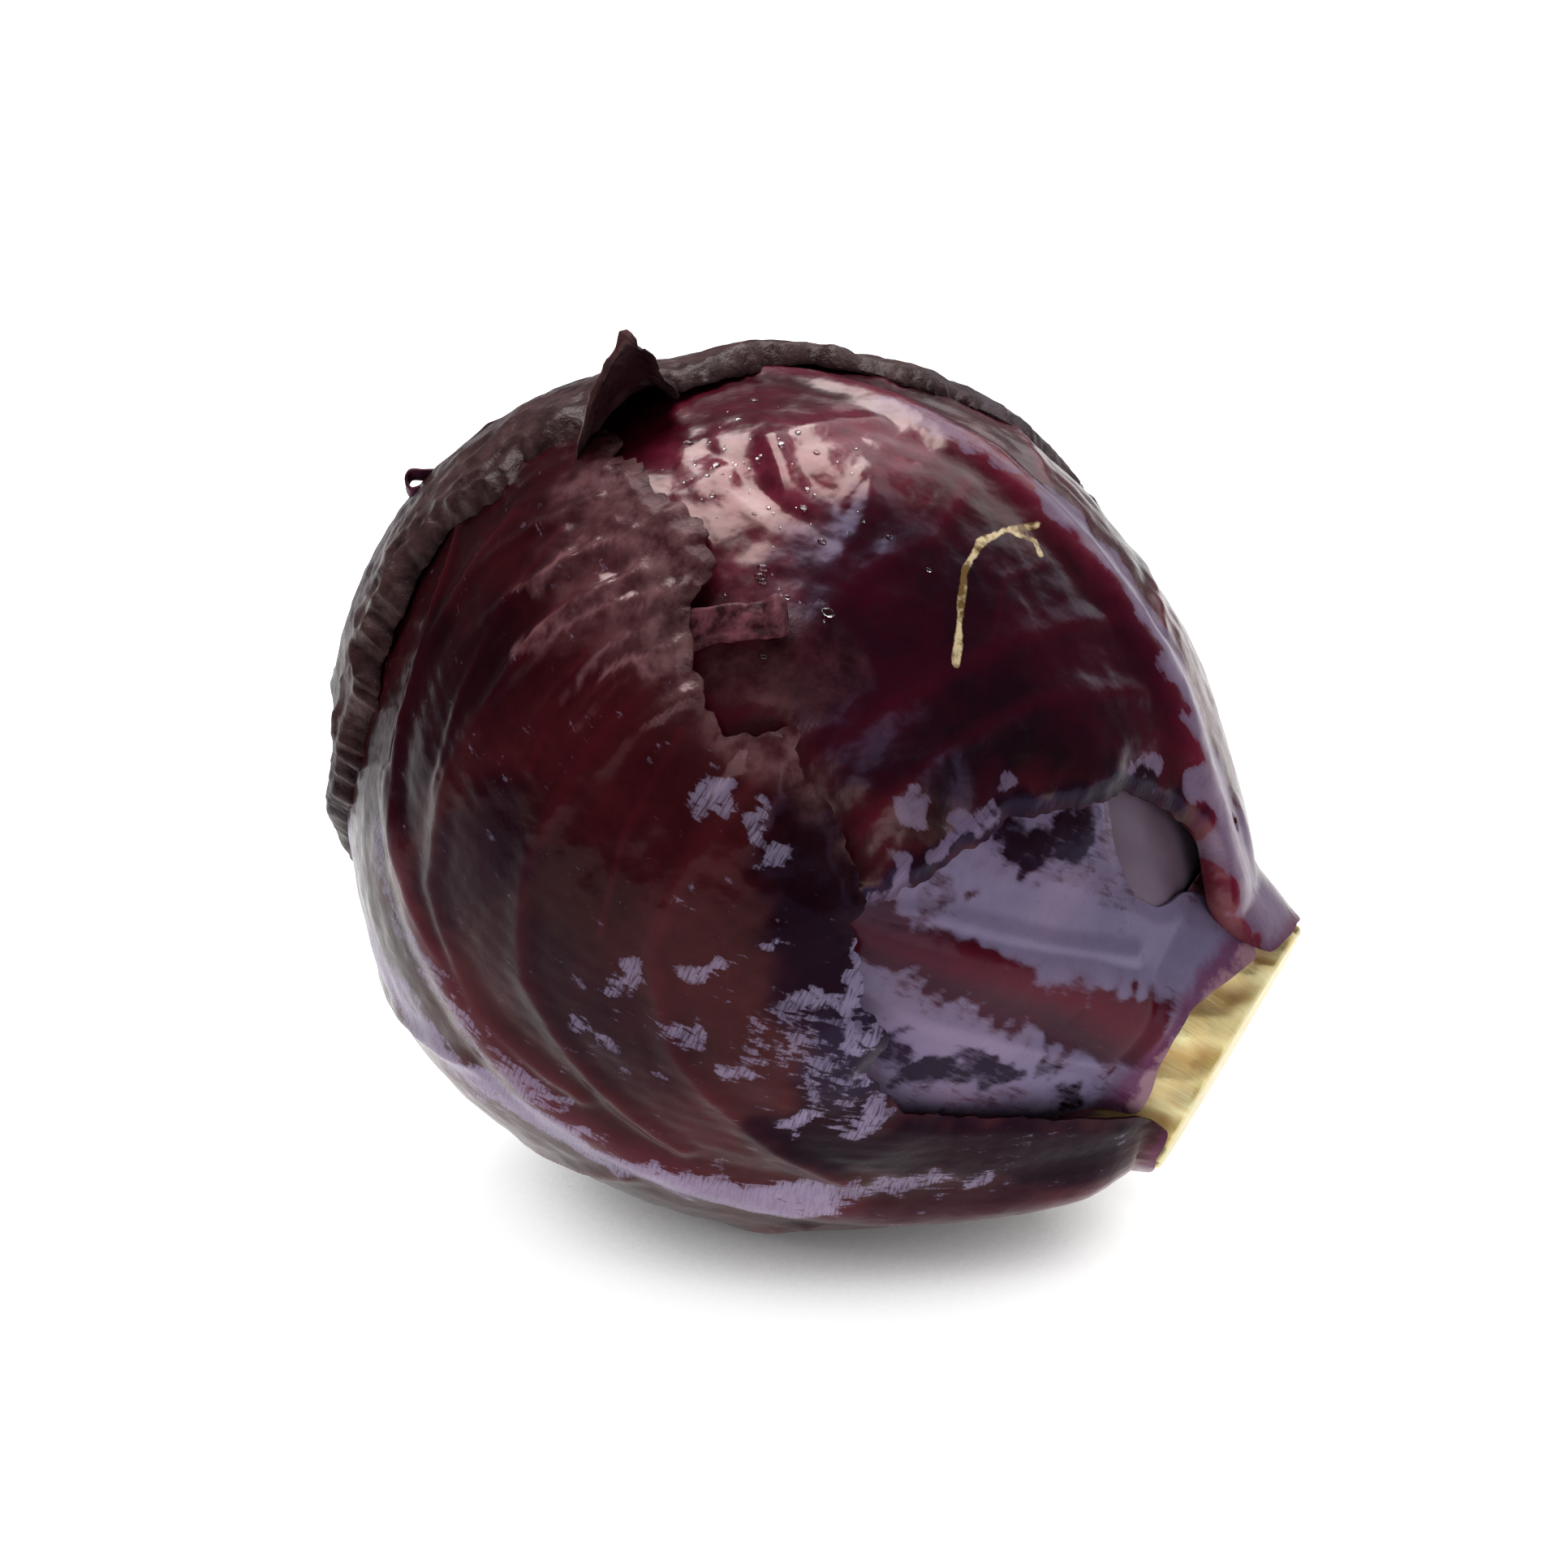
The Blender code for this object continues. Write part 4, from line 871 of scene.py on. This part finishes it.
leafUnder = {
    **plainLeaf, "name": "underLeaf", "node": "leaf_under", "vertexCount": 47500,
    "centre": (95, -32), "ragged": 1.3, "torn": 1.1,
    "outline": "16.2,-9 20,-4 26,-5 33,-6 42,-8 49,-8 56,-3 57,4 62,10 66,16 69,22 74,27 80,31 85,35 91,29 96,32 "
               "103,41 104,47 108,51 113,53 118,54 123,60 130,66 140,72 151,72 161,50 166,0 163,-60 150,-92 135,-110 "
               "115,-122 90,-128 65,-128 45,-124 30,-112 20,-96 15.4,-78 15.2,-55 15.6,-30",
    "rib": "14,-38 25,-38 45,-41 60,-36 75,-34 90,-31 110,-21 132,-6", "ribWidth": (25, 9), "ribHeight": (2.9, 0.8),
    "veins": ["52,-28 66,-18 79,-9 87,4 88,15 86,27", "74,-27 88,-20 100,-10 105,4 104,22 101,34",
              "88,-25 104,-21 117,-10 121,6 118,26 115,44", "112,-18 126,-12 134,3 136,22 134,44",
              "56,-50 72,-72 84,-94", "80,-42 98,-62 110,-86", "104,-34 122,-50 136,-74"],
    "veinHeight": 0.75, "veinCrest": 0.25,
    "lifts": [(104, 44, 6, 1.0), (84, 34, 6, 1.0), (119, 55, 6, 0.8), (58, 4, 5, 0.8)],
    "rolls": [(102, 40, 7, 1.3), (90, 32, 6, 1.0), (78, 29, 6, 0.8), (114, 54, 7, 1.0)], "rollWidth": 3.2,
    "folds": [("120,20 119,25 117,31 113,39 109,44", 1.3, 1.5), ("128,24 123,34 119,41 114,48", 1.4, 1.4),
              ("108,20 106,28 103,34 100,37", 1.4, 1.6), ("120,16 117,26 114,32 110,38 105,42", 1.2, 1.3),
              ("102,18 101,25 98,31 95,33", 1.2, 1.3), ("135,30 131,38 126,45 121,51", 1.5, 1.0),
              ("113,16 111,26 108,33 104,38", 1.1, 1.1), ("90,22 89,28 90,34", 1.3, 1.2),
              ("83,20 83,26 85,33", 1.4, 0.9), ("146,50 141,32 137,17 134,3 130,-10", 1.6, 0.6)],
    "crumple": 0.3, "crumpleFrom": (50, 80), "crumples": [(108, 42, 10, 0.8), (86, 30, 8, 1.3)],
    "wrinkle": 0.45, "press": 0.8, "rimHug": 0.8, "swell": 0.24,
    "fineVeins": [("124,44 125,29 125,16 122,2", 0.8, 0.3), ("146,50 141,32 137,17 134,3", 0.9, 0.35),
                  ("112,44 111,30 110,14", 0.6, 0.2), ("96,28 96,14 93,2", 0.6, 0.2)],
    "dryRim": 0.8, "dryWidth": 1.6, "dryFrom": (64, 86),
    "paint": {
        **plainPaint, "base": (14.6, 18),
        # deep marks are painted shade
        "deep": [("132,-8 129,8 125,20", 9, 0.65), ("115,-8 110,4", 7, 0.5), ("76,24 68,12 61,4 58,-8", 8, 0.8),
                 ("60,-16 44,-16 24,-18", 7, 0.8), ("56,-46 34,-36", 7, 0.5), ("138,-18 137,0 135,20", 5, 0.6),
                 ("100,-8 84,-12", 10, 0.35)],
        # the lilac band along the bottom is wax bloom and a painted reflection of the floor
        "waxAndSheen": [("142,-40 131,-43 117,-37 104,-38 92,-36 79,-36 67,-36 57,-33", 5.4, 0.95),
                  ("57,-32 45,-28 37,-25", 2.6, 0.66), ("131,-17 122,-21 112,-22 101,-26 91,-28", 3.0, 0.6),
                  ("89,-6 88,-1", 2.4, 0.68), ("91,-12 87,-12", 2.2, 0.6), ("83,2 79,6", 1.6, 0.7),
                  ("75,11 74,13", 1.4, 0.75), ("78,-4 81,-7", 2.0, 0.66), ("72,-8 70,-7", 1.6, 0.7),
                  ("68,7 66,8", 1.6, 0.8), ("63,8 62,10", 1.8, 0.85), ("60,3 60,6", 1.8, 0.85),
                  ("62,-14 61,-11", 2.4, 0.8), ("57,-4 56,-1", 1.6, 0.8), ("53,-7 55,-12", 2.0, 0.75),
                  ("66,16 63,12", 1.4, 0.8), ("68,0 60,-4", 7, 0.46), ("90,22 88,25", 2.0, 0.75),
                  ("83,21 84,24", 2.0, 0.66), ("78,20 79,22", 1.6, 0.6)],
        "dry": [("123,59 116,52 109,46 104,38 98,32", 4.0, 0.55), ("90,34 82,32", 2.5, 0.5)],
        "wet": [("60,0", 8, 0.6), ("117,42 108,36 100,32 88,26", 6, 0.9)],
        "fadeAndHighlight": [("124,52 116,49 110,45", 6, 0.7), ("118,40 110,36", 7, 0.4), ("98,34 90,32 80,30", 4, 0.5),
                 # the thin lines on the fold crests are painted highlights
                 ("119,25 117,31 113,39 110,43", 1.0, 0.95), ("123,34 119,41 115,46", 1.0, 0.9),
                 ("106,28 103,34 101,36", 1.0, 0.95), ("117,26 114,32 110,38 106,41", 0.9, 0.9),
                 ("111,26 108,33 105,37", 0.8, 0.8)],
    },
    "material": "maroonOuterLeaf",
    "look": {
        **plainLook, "dark": "#22060b", "mid": "#431218", "fadedAndHighlight": "#80565a", "ribColour": "#541024", "ribShow": 0.7,
        "veinColour": "#5c1622", "veinShow": 0.3, "wax": "#a496b4", "waxAndSheenLow": "#857897", "waxAndSheenShow": 0.74,
        "rub": 0.62, "scratched": 0.3, "dryDark": "#341a1e", "dryPale": "#765656", "dryRough": 0.16, "rough": 0.2,
        "cells": 0.08, "gloss": 0.16, "wetShine": 0.4, "glossTint": "#ffd8d6",
    },
}
leafBack = {
    **plainLeaf, "name": "backLeaf", "node": "leaf_back", "vertexCount": 47500,
    "centre": (112, 180), "ragged": 1.7, "torn": 0.9,
    "outline": "17.5,140 16.9,158 16.2,-176 15.7,-150 20,-128 40,-116 65,-117 90,-110 110,-94 130,-72 142,-48 142,-31 "
               "141,-14 144,2 147,17 147,34 142,43 138,49 136,55 135,62 flap 126,77 121,84 116,93 109,98 103,98 95,104 "
               "88,111 81,118 74,126 67,135 59,143 50,149 40,152 32,153 25,150 20,146",
    "rib": "14,180 40,182 80,184 120,186 150,190", "ribWidth": (24, 8), "ribHeight": (3.6, 0.6),
    "veins": ["48,176 66,154 78,128", "76,178 96,152 106,122", "104,180 124,150 134,118", "52,190 68,210 76,232",
              "82,192 100,218 108,246", "112,194 130,226 136,262", "138,186 158,140 156,84", "150,200 168,250 158,330"],
    "veinCrest": 0.3, "crinkle": 0.65,
    "lifts": [(118, 89, 8, 2.0), (105, 97, 8, 1.6), (80, 98, 8, 0.9), (151, 20, 9, 0.8), (139, -28, 8, 0.8),
              (148, 12, 16, 1.5)],
    "rolls": [(116, 93, 14, -0.9), (100, 101, 10, -0.8), (80, 112, 16, -2.4), (130, -60, 18, -1.8)], "rollWidth": 4.0,
    "folds": [("146,8 140,22 138,40", 1.6, 1.3), ("150,20 146,36 140,52", 1.6, 1.2),
              ("143,0 150,4 158,14", 1.5, 1.0), ("141,-20 149,-14 156,-2", 1.5, 1.0)],
    "crumple": 0.6, "crumpleFrom": (66, 100), "wrinkle": 0.5, "rimHug": 0.1, "tuck": 1.2, "plaits": 0.5, "swell": 0.5,
    "dryRim": 0.85, "dryWidth": 5.0, "waxAndSheenLevel": 0.12,
    "paint": {
        # the greyish lilac along the left edge is a painted highlight over wax bloom
        **plainPaint, "base": (15, 22), "waxAndSheen": [("164,39 163,3 156,-19 149,-35", 8, 0.55), ("92,111 82,112", 5, 0.6)],
        "dry": [("180,0", 60, 0.5)], "fadeAndHighlight": [("150,0 150,40 110,104", 12, 0.5)],
    },
    "material": "driedOuterLeaf",
    "look": {
        **plainLook, "dark": "#1a0a0e", "mid": "#34161c", "fadedAndHighlight": "#6e4c4a", "ribColour": "#4a3440", "ribShow": 0.6,
        "veinColour": "#5a3e46", "veinShow": 0.5, "wax": "#6e6476", "waxAndSheenLow": "#5e5666", "waxAndSheenShow": 0.55, "rub": 0.6,
        "scratched": 0.6, "dryDark": "#180c0e", "dryPale": "#4a3436", "dryRough": 0.1, "rough": 0.3, "waxRough": 0.1,
        "wetGloss": 0.0, "cells": 0.25, "bump": 0.8, "gloss": 0.3, "darkShine": 0.5, "glossTint": "#fff0ee",
    },
}

# the heart: a ball pressed into the solid's form, and sunk a little behind the gap that shows it
heartDetail = {"sinkAt": (34, 60), "sinkReach": 11, "sink": 1.2,
               "look": {"dark": "#5c4858", "wax": "#6e5c6e", "rough": 0.5}}
deselectAll()
bpy.ops.mesh.primitive_uv_sphere_add(segments=180, ring_count=200, radius=0.065)
heartPiece = newPiece("heartHead")
ball = unit(pointsOf(heartPiece))
ways = unit(ball[:, :1] * front + ball[:, 1:2] * top + ball[:, 2:] * axis)
sunk = heartHeight(ways)
gapWay = apart(ways, direction(*heartDetail["sinkAt"]))
sunk = sunk + heartDetail["sink"] * bell(gapWay / heartDetail["sinkReach"], 4)
angle, turn = anglesOf(ways)
# it ends flat under the stalk's foot, and goes on round it beside the foot
footRadius = stalkShape["cutRadius"] + stalkShape["flare"] * (stalkShape["cutAt"] - stalkShape["foot"])
footRadius = footRadius + stalkShape["lean"] * np.sin(np.radians(turn))
beside = smoothStep(0.3, 1.3, stalkShape["foot"] * np.tan(np.radians(np.minimum(angle, 80))) - footRadius)
whole, flatEnd = resting(ways, skin(ways) + sunk, sunk), heartShape["end"] / np.maximum(ways @ axis, 0.2)
reach = np.minimum(whole, flatEnd) * (1 - beside) + whole * beside
setPoints(heartPiece, (centre + ways * reach[:, None]) * mm)
facesOutward(heartPiece)
bpy.ops.object.shade_smooth()
heartPiece.data.materials.append(skinMaterial("innerHeadLeafSkin", heartDetail["look"]))
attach(heartPiece, "root")
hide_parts("heart")
print("heart made")

# the stalk: a ball drawn out into a cut cone, with hollow scars of the leaves that were taken off
stalkDetail = {
    "slant": 1.5,
    "scars": (  # turn and half width in degrees, depth in mm
        (3, 12, 1.6), (19, 9, 3.0), (33, 6, 1.5), (46, 11, 2.4), (62, 7, 1.4), (-14, 8, 2.0), (-34, 12, 1.6),
        (78, 13, 1.6), (102, 14, 1.8), (130, 16, 1.6), (165, 20, 1.5), (-145, 20, 1.7), (-100, 18, 1.6),
        (-62, 15, 1.5)),
    "segments": 270, "rings": 160, "rimRound": 0.6, "dish": 0.5, "rugged": 1.7, "grainRadius": 22,
    "look": {"pale": "#fff4c0", "cream": "#ffe49c", "deep": "#d8a44c", "face": "#fbeec4", "skin": "#8c3468"},
}
deselectAll()
bpy.ops.mesh.primitive_uv_sphere_add(segments=stalkDetail["segments"], ring_count=stalkDetail["rings"], radius=0.03)
stalkPiece = newPiece("stalkCut")
ball = unit(pointsOf(stalkPiece))
turn = np.degrees(np.arctan2(ball[:, 1], ball[:, 0]))
part = np.degrees(np.arccos(np.clip(ball[:, 2], -1, 1))) / 180
cut, foot = stalkShape["cutAt"], stalkShape["foot"]
t = np.where(part < 0.3, cut, np.where(part > 0.85, foot, cut - (cut - foot) * (part - 0.3) / 0.55))
inward = np.where(part < 0.3, part / 0.3, np.where(part > 0.85, (1 - part) / 0.15, 1.0))
body = stalkShape["cutRadius"] + stalkShape["flare"] * (cut - t) + stalkShape["lean"] * np.sin(np.radians(turn))
hollow = np.zeros(len(ball))
sideWays = direction(np.degrees(np.arctan2(stalkDetail["grainRadius"], t)), turn)
for at, wide, deep in stalkDetail["scars"]:
    slanted = turn - at - (t - 76) * stalkDetail["slant"] * math.sin(at * 0.7)
    off = (slanted + 4 * bumps(sideWays, 12, 65) + 180) % 360 - 180
    bowl = np.clip(1 - (off / wide) ** 2, 0, 1)
    sink = smoothStep(66, 71, t) * (1 - 0.85 * smoothStep(77.5, 81.6, t))
    body = body - deep * bowl * sink
    hollow = np.maximum(hollow, bowl ** 1.4 * sink * (0.5 + 0.5 * smoothStep(1.2, 2.6, deep)))
around = direction(np.full(len(ball), 90.0), turn)
grain = bumps(around, 7, 61) * 0.5 + bumps(around, 3, 62) * 0.25
side = (part >= 0.3) & (part <= 0.85)
rugged = np.abs(bumps(sideWays, 5.5, 66)) * 0.7 + bumps(sideWays, 2.6, 67) * 0.25
body = body + np.where(side, (grain * 0.35 - rugged * stalkDetail["rugged"]) * smoothStep(81.9, 80.4, t), 0)
body = body - stalkDetail["rimRound"] * np.clip(1 - (cut - t) / stalkDetail["rimRound"], 0, 1) ** 2
radius = body * inward
face = cut - stalkDetail["dish"] * (1 - inward ** 2)
face = face + 0.08 * bumps(around * inward[:, None], 9, 63) * (1 - inward ** 8)
t = np.where(part < 0.3, face, t)
spin = np.radians(turn)[:, None]
places = centre + axis * t[:, None] + radius[:, None] * (np.cos(spin) * front + np.sin(spin) * top)
setPoints(stalkPiece, places * mm)
facesOutward(stalkPiece)
bpy.ops.object.shade_smooth_by_angle(angle=math.radians(50))
addValues(stalkPiece, "cutFace", (part < 0.3).astype(float))
addValues(stalkPiece, "hollow", hollow)
addValues(stalkPiece, "skinEdge", 1 - smoothStep(67.5, 74.5, t + bumps(around, 14, 64) * 1.6))
addMap(stalkPiece, "stalkMap", np.column_stack([turn / 360, np.where(part < 0.3, 0.1 * inward, t * 0.01)]))
stalkPiece.data.materials.append(fleshMaterial("cutStalkFlesh", stalkDetail["look"]))
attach(stalkPiece, "root")
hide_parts("stalk")
print("stalk made")

# the leaves are laid one over the other, each clear of those below
angleGrid, turnGrid = np.meshgrid(np.arange(20, 181, 4), np.arange(0, 360, 4), indexing="ij")
ways = direction(angleGrid.ravel(), turnGrid.ravel())
layers = [(ways, heartHeight(ways))]
leafPieces = {}
for leaf in (leafFrontInner, leafRight, leafUnder, leafBack):
    leaf["ring"] = ringOf(leaf, 3.6, False)
    leaf["fineRing"] = ringOf(leaf, 0.7, True)
    leaf["ribLine"] = path(leaf, leaf["rib"])
    leaf["veinLines"] = [path(leaf, v) for v in leaf["veins"]]
    layField(leaf, layers)
    layers.append(topsOf(leaf))
    leafPieces[leaf["name"]] = makeLeaf(leaf)

# small torn pieces: a tongue of the under leaf's rim folded over the seam, and a curled shred at the back
def outerAt(piece, ways):  # the outer face of a leaf along these directions, in mm from the centre
    points = pointsOf(piece) * perMetre - centre
    far = np.linalg.norm(points, axis=1)
    dirs = points / far[:, None]
    found = np.empty(len(ways))
    for k, way in enumerate(ways):
        near = dirs @ way > math.cos(math.radians(1.3))
        found[k] = far[near].max() if near.any() else markRadius
    return found


def makeStrip(name, across, along, placeOf, thick, material):
    deselectAll()
    bpy.ops.mesh.primitive_grid_add(x_subdivisions=across, y_subdivisions=along, size=2)
    strip = newPiece(name)
    grid = pointsOf(strip)
    setPoints(strip, placeOf(grid[:, 0].copy(), (grid[:, 1] + 1) / 2) * mm)
    solid = strip.modifiers.new("blade", "SOLIDIFY")
    solid.thickness = thick * mm
    solid.offset = 0
    bpy.ops.object.modifier_apply(modifier=solid.name)
    facesOutward(strip)
    bpy.ops.object.shade_smooth()
    strip.data.materials.append(material)
    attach(strip, "root")
    print(name, "made")


def driedMaterial(name, dark, pale):  # dried leaf skin, creased about every 2 mm, still a little glossy on the folds
    m, tree, shader = newMaterial(name)
    place = node(tree, "TexCoord", out="Object")
    creases = node(tree, "TexNoise", {"Vector": place, "Scale": 330.0, "Detail": 5.0, "Roughness": 0.65})
    amount = node(tree, "MapRange", {0: creases, 1: 0.38, 2: 0.66})
    tone = node(tree, "Mix", {0: amount, 6: colour(dark), 7: colour(pale)}, 2, data_type="RGBA")
    rough = node(tree, "MapRange", {0: creases, 1: 0.3, 2: 0.7, 3: 0.42, 4: 0.6})
    bump = node(tree, "Bump", {"Height": creases, "Strength": 0.5, "Distance": 0.0006})
    fill(tree, shader, {"Base Color": tone, "Roughness": rough, "Normal": bump, "Specular IOR Level": 0.2,
                        "Specular Tint": colour("#ffd8d0")})
    return m


tongue = {"line": "102.3,38.2 92.8,45.2", "halfWidth": 3.3, "arch": 2.1, "thick": 0.6,
          "dark": "#2c0c14", "pale": "#74404a"}


def tonguePlace(x, t):
    start, end = onSkin(tongue["line"])
    line = start + (end - start) * t[:, None]
    side = unit(np.cross(unit(line), end - start))
    bent = 0.12 * np.sin(t * 5 + 0.6) + 0.05 * np.sin(t * 13 + 2 * x)
    width = tongue["halfWidth"] * (1.0 - 0.2 * np.sin(t * 3.3) - 0.3 * smoothStep(0.9, 1.0, t))
    ways = unit(line + side * ((x + bent) * width)[:, None])
    under = outerAt(leafPieces["rightLeaf"], ways)
    tall = np.minimum(1.0, 2.4 * (1 - np.abs(x)) ** 0.7) * (0.8 + 0.2 * x)
    fold = 1.3 * bell((t - 0.9) / 0.07) - 0.5 * bell((t - 0.55 - 0.1 * x) / 0.06)
    high = tongue["arch"] * tall * (0.75 + 0.35 * smoothStep(0.0, 0.5, t))
    return centre + ways * (under + 0.25 + high + fold)[:, None]


makeStrip("seamTongue", 24, 56, tonguePlace, tongue["thick"],
          driedMaterial("driedLeafTongue", tongue["dark"], tongue["pale"]))

# its line is in the photograph's pixels, and it stands about as far off as the head's middle
shred = {"line": ((566, 588), (545, 583), (520, 583), (503, 584), (499, 594), (506, 606), (517, 603)),
         "halfWidth": 1.4, "thick": 0.5, "nearer": 0.987, "dark": "#3a0f26", "pale": "#6a3450"}


def shredPlace(x, t):
    line = np.array(shred["line"], float)
    lengths = np.concatenate([[0], np.cumsum(np.linalg.norm(np.diff(line, axis=0), axis=1))])
    at = t * lengths[-1]
    px, py = smoothCurve(at, lengths, line[:, 0]), smoothCurve(at, lengths, line[:, 1])
    scale = view["mmPerPixel"] * shred["nearer"]
    places = centre + sideways * ((px - view["middle"][0]) * scale)[:, None]
    places = places - upwards * ((py - view["middle"][1]) * scale)[:, None]
    lean = 0.5 * upwards + 0.86 * backwards
    return places + lean * (x * shred["halfWidth"])[:, None] + backwards * (4.0 + 2.0 * t[:, None])


makeStrip("curledShred", 6, 36, shredPlace, shred["thick"],
          driedMaterial("purpleLeafShred", shred["dark"], shred["pale"]))

# drops of water: small domes, fewer and larger towards the shiny part, all in one mesh
drops = {"count": 95, "seed": 8, "smallest": 0.16, "largest": 0.8, "height": 0.42,
         "places": (((114, 60), 9), ((101, 62), 13), ((96, 46), 5), ((120, 76), 6)), "shares": (0.4, 0.3, 0.2, 0.1)}
rng = np.random.default_rng(drops["seed"])
deselectAll()
bpy.ops.mesh.primitive_ico_sphere_add(subdivisions=2, radius=1)
dropPiece = newPiece("waterDrops")
one = pointsOf(dropPiece)
copies = []
for k in range(drops["count"]):
    (angle, turn), spread = drops["places"][rng.choice(4, p=drops["shares"])]
    way = unit(direction(angle, turn) + rng.normal(size=3) * math.radians(spread) * 0.55)
    size = drops["smallest"] + (drops["largest"] - drops["smallest"]) * rng.random() ** 4
    ahead = unit(np.cross(way, [0.3, 0.5, 0.8]))
    far = outerAt(leafPieces["rightLeaf"], [way])[0]
    if far < 69 or abs(outerAt(leafPieces["underLeaf"], [way])[0] - markRadius) > 0.01:
        continue
    longer = 1 + 0.5 * rng.random()
    shape = one[:, :1] * size * ahead * longer + one[:, 1:2] * size * np.cross(way, ahead)
    copies.append(centre + way * (far - 0.05) + shape + np.maximum(one[:, 2:], -0.4) * size * drops["height"] * way)
dropFaces = np.array([list(p.vertices) for p in dropPiece.data.polygons])
dropMesh = bpy.data.meshes.new("waterDrops")
dropFaces = np.vstack([dropFaces + k * len(one) for k in range(len(copies))])
dropMesh.from_pydata((np.vstack(copies) * mm).tolist(), [], dropFaces.tolist())
dropPiece.data = dropMesh
pick(dropPiece)
bpy.ops.object.shade_smooth()
water, waterTree, waterShader = newMaterial("clearWater")
fill(waterTree, waterShader, {"Base Color": colour("#ffffff"), "Roughness": 0.03, "IOR": 1.33,
                              "Transmission Weight": 1.0})
dropPiece.data.materials.append(water)
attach(dropPiece, "root")
print("drops made:", len(copies))

# floor, light and camera
stageLook = {"floorSize": 8.0, "floor": "#bcbcbc", "worldStrength": 0.1, "floorGlow": 1.0, "floorReach": 0.05}
deselectAll()
bpy.ops.mesh.primitive_plane_add(size=stageLook["floorSize"], location=(0, 0, 0))
floor = bpy.context.object
floor.name = "floor"
floorPaint, floorTree, floorShader = newMaterial("paleStudioFloor")
# the floor's own glow is shaded where the head stands close over it, as under a wide bank of lamps
closeShade = node(floorTree, "AmbientOcclusion", {"Distance": stageLook["floorReach"]}, "AO", samples=12)
closeShade = node(floorTree, "MapRange", {0: closeShade, 1: 0.05, 2: 0.44, 3: 0.05}, interpolation_type="SMOOTHSTEP")
fill(floorTree, floorShader, {"Base Color": colour(stageLook["floor"]), "Roughness": 0.9,
                              "Emission Color": closeShade, "Emission Strength": stageLook["floorGlow"]})
floor.data.materials.append(floorPaint)

world = bpy.data.worlds.new("studio") if not bpy.context.scene.world else bpy.context.scene.world
bpy.context.scene.world = world
world.use_nodes = True
world.node_tree.nodes["Background"].inputs[0].default_value = (0.95, 0.97, 1.0, 1)
world.node_tree.nodes["Background"].inputs[1].default_value = stageLook["worldStrength"]

lights = {
    "overhead": {"at": (-0.25, 0.4, 1.3), "size": 0.9, "power": 22.0, "tone": (1.0, 0.99, 0.98),
                 "aim": (0, 0, 0.06)},
    "sideFill": {"at": (1.15, -0.95, 0.35), "size": 0.7, "power": 3.2, "tone": (0.97, 0.97, 1.0),
                 "aim": (0, 0, 0.06)},
    "farWash": {"at": (0.6, 2.6, 1.8), "size": 2.4, "power": 22.0, "tone": (0.97, 0.98, 1.0),
                "aim": (0, 0.9, 0)},
}
for name, light in lights.items():
    data = bpy.data.lights.new(name, "AREA")
    data.shape = "SQUARE"
    data.size = light["size"]
    data.energy = light["power"]
    data.color = light["tone"]
    lamp = bpy.data.objects.new(name, data)
    lamp.location = light["at"]
    lamp.rotation_euler = (Vector(light["aim"]) - Vector(light["at"])).to_track_quat("-Z", "Y").to_euler()
    bpy.context.scene.collection.objects.link(lamp)

cameraData = bpy.data.cameras.new("photoView")
cameraData.lens = view["lens"]
cameraData.sensor_width = view["sensor"]
cameraData.clip_start = 0.01
camera = bpy.data.objects.new("photoView", cameraData)
camera.location = Vector(eye * mm)
camera.rotation_euler = Vector(-backwards).to_track_quat("-Z", "Y").to_euler()
bpy.context.scene.collection.objects.link(camera)
bpy.context.scene.camera = camera
bpy.context.scene.view_settings.view_transform = "Standard"
print("stage, lights and camera set")
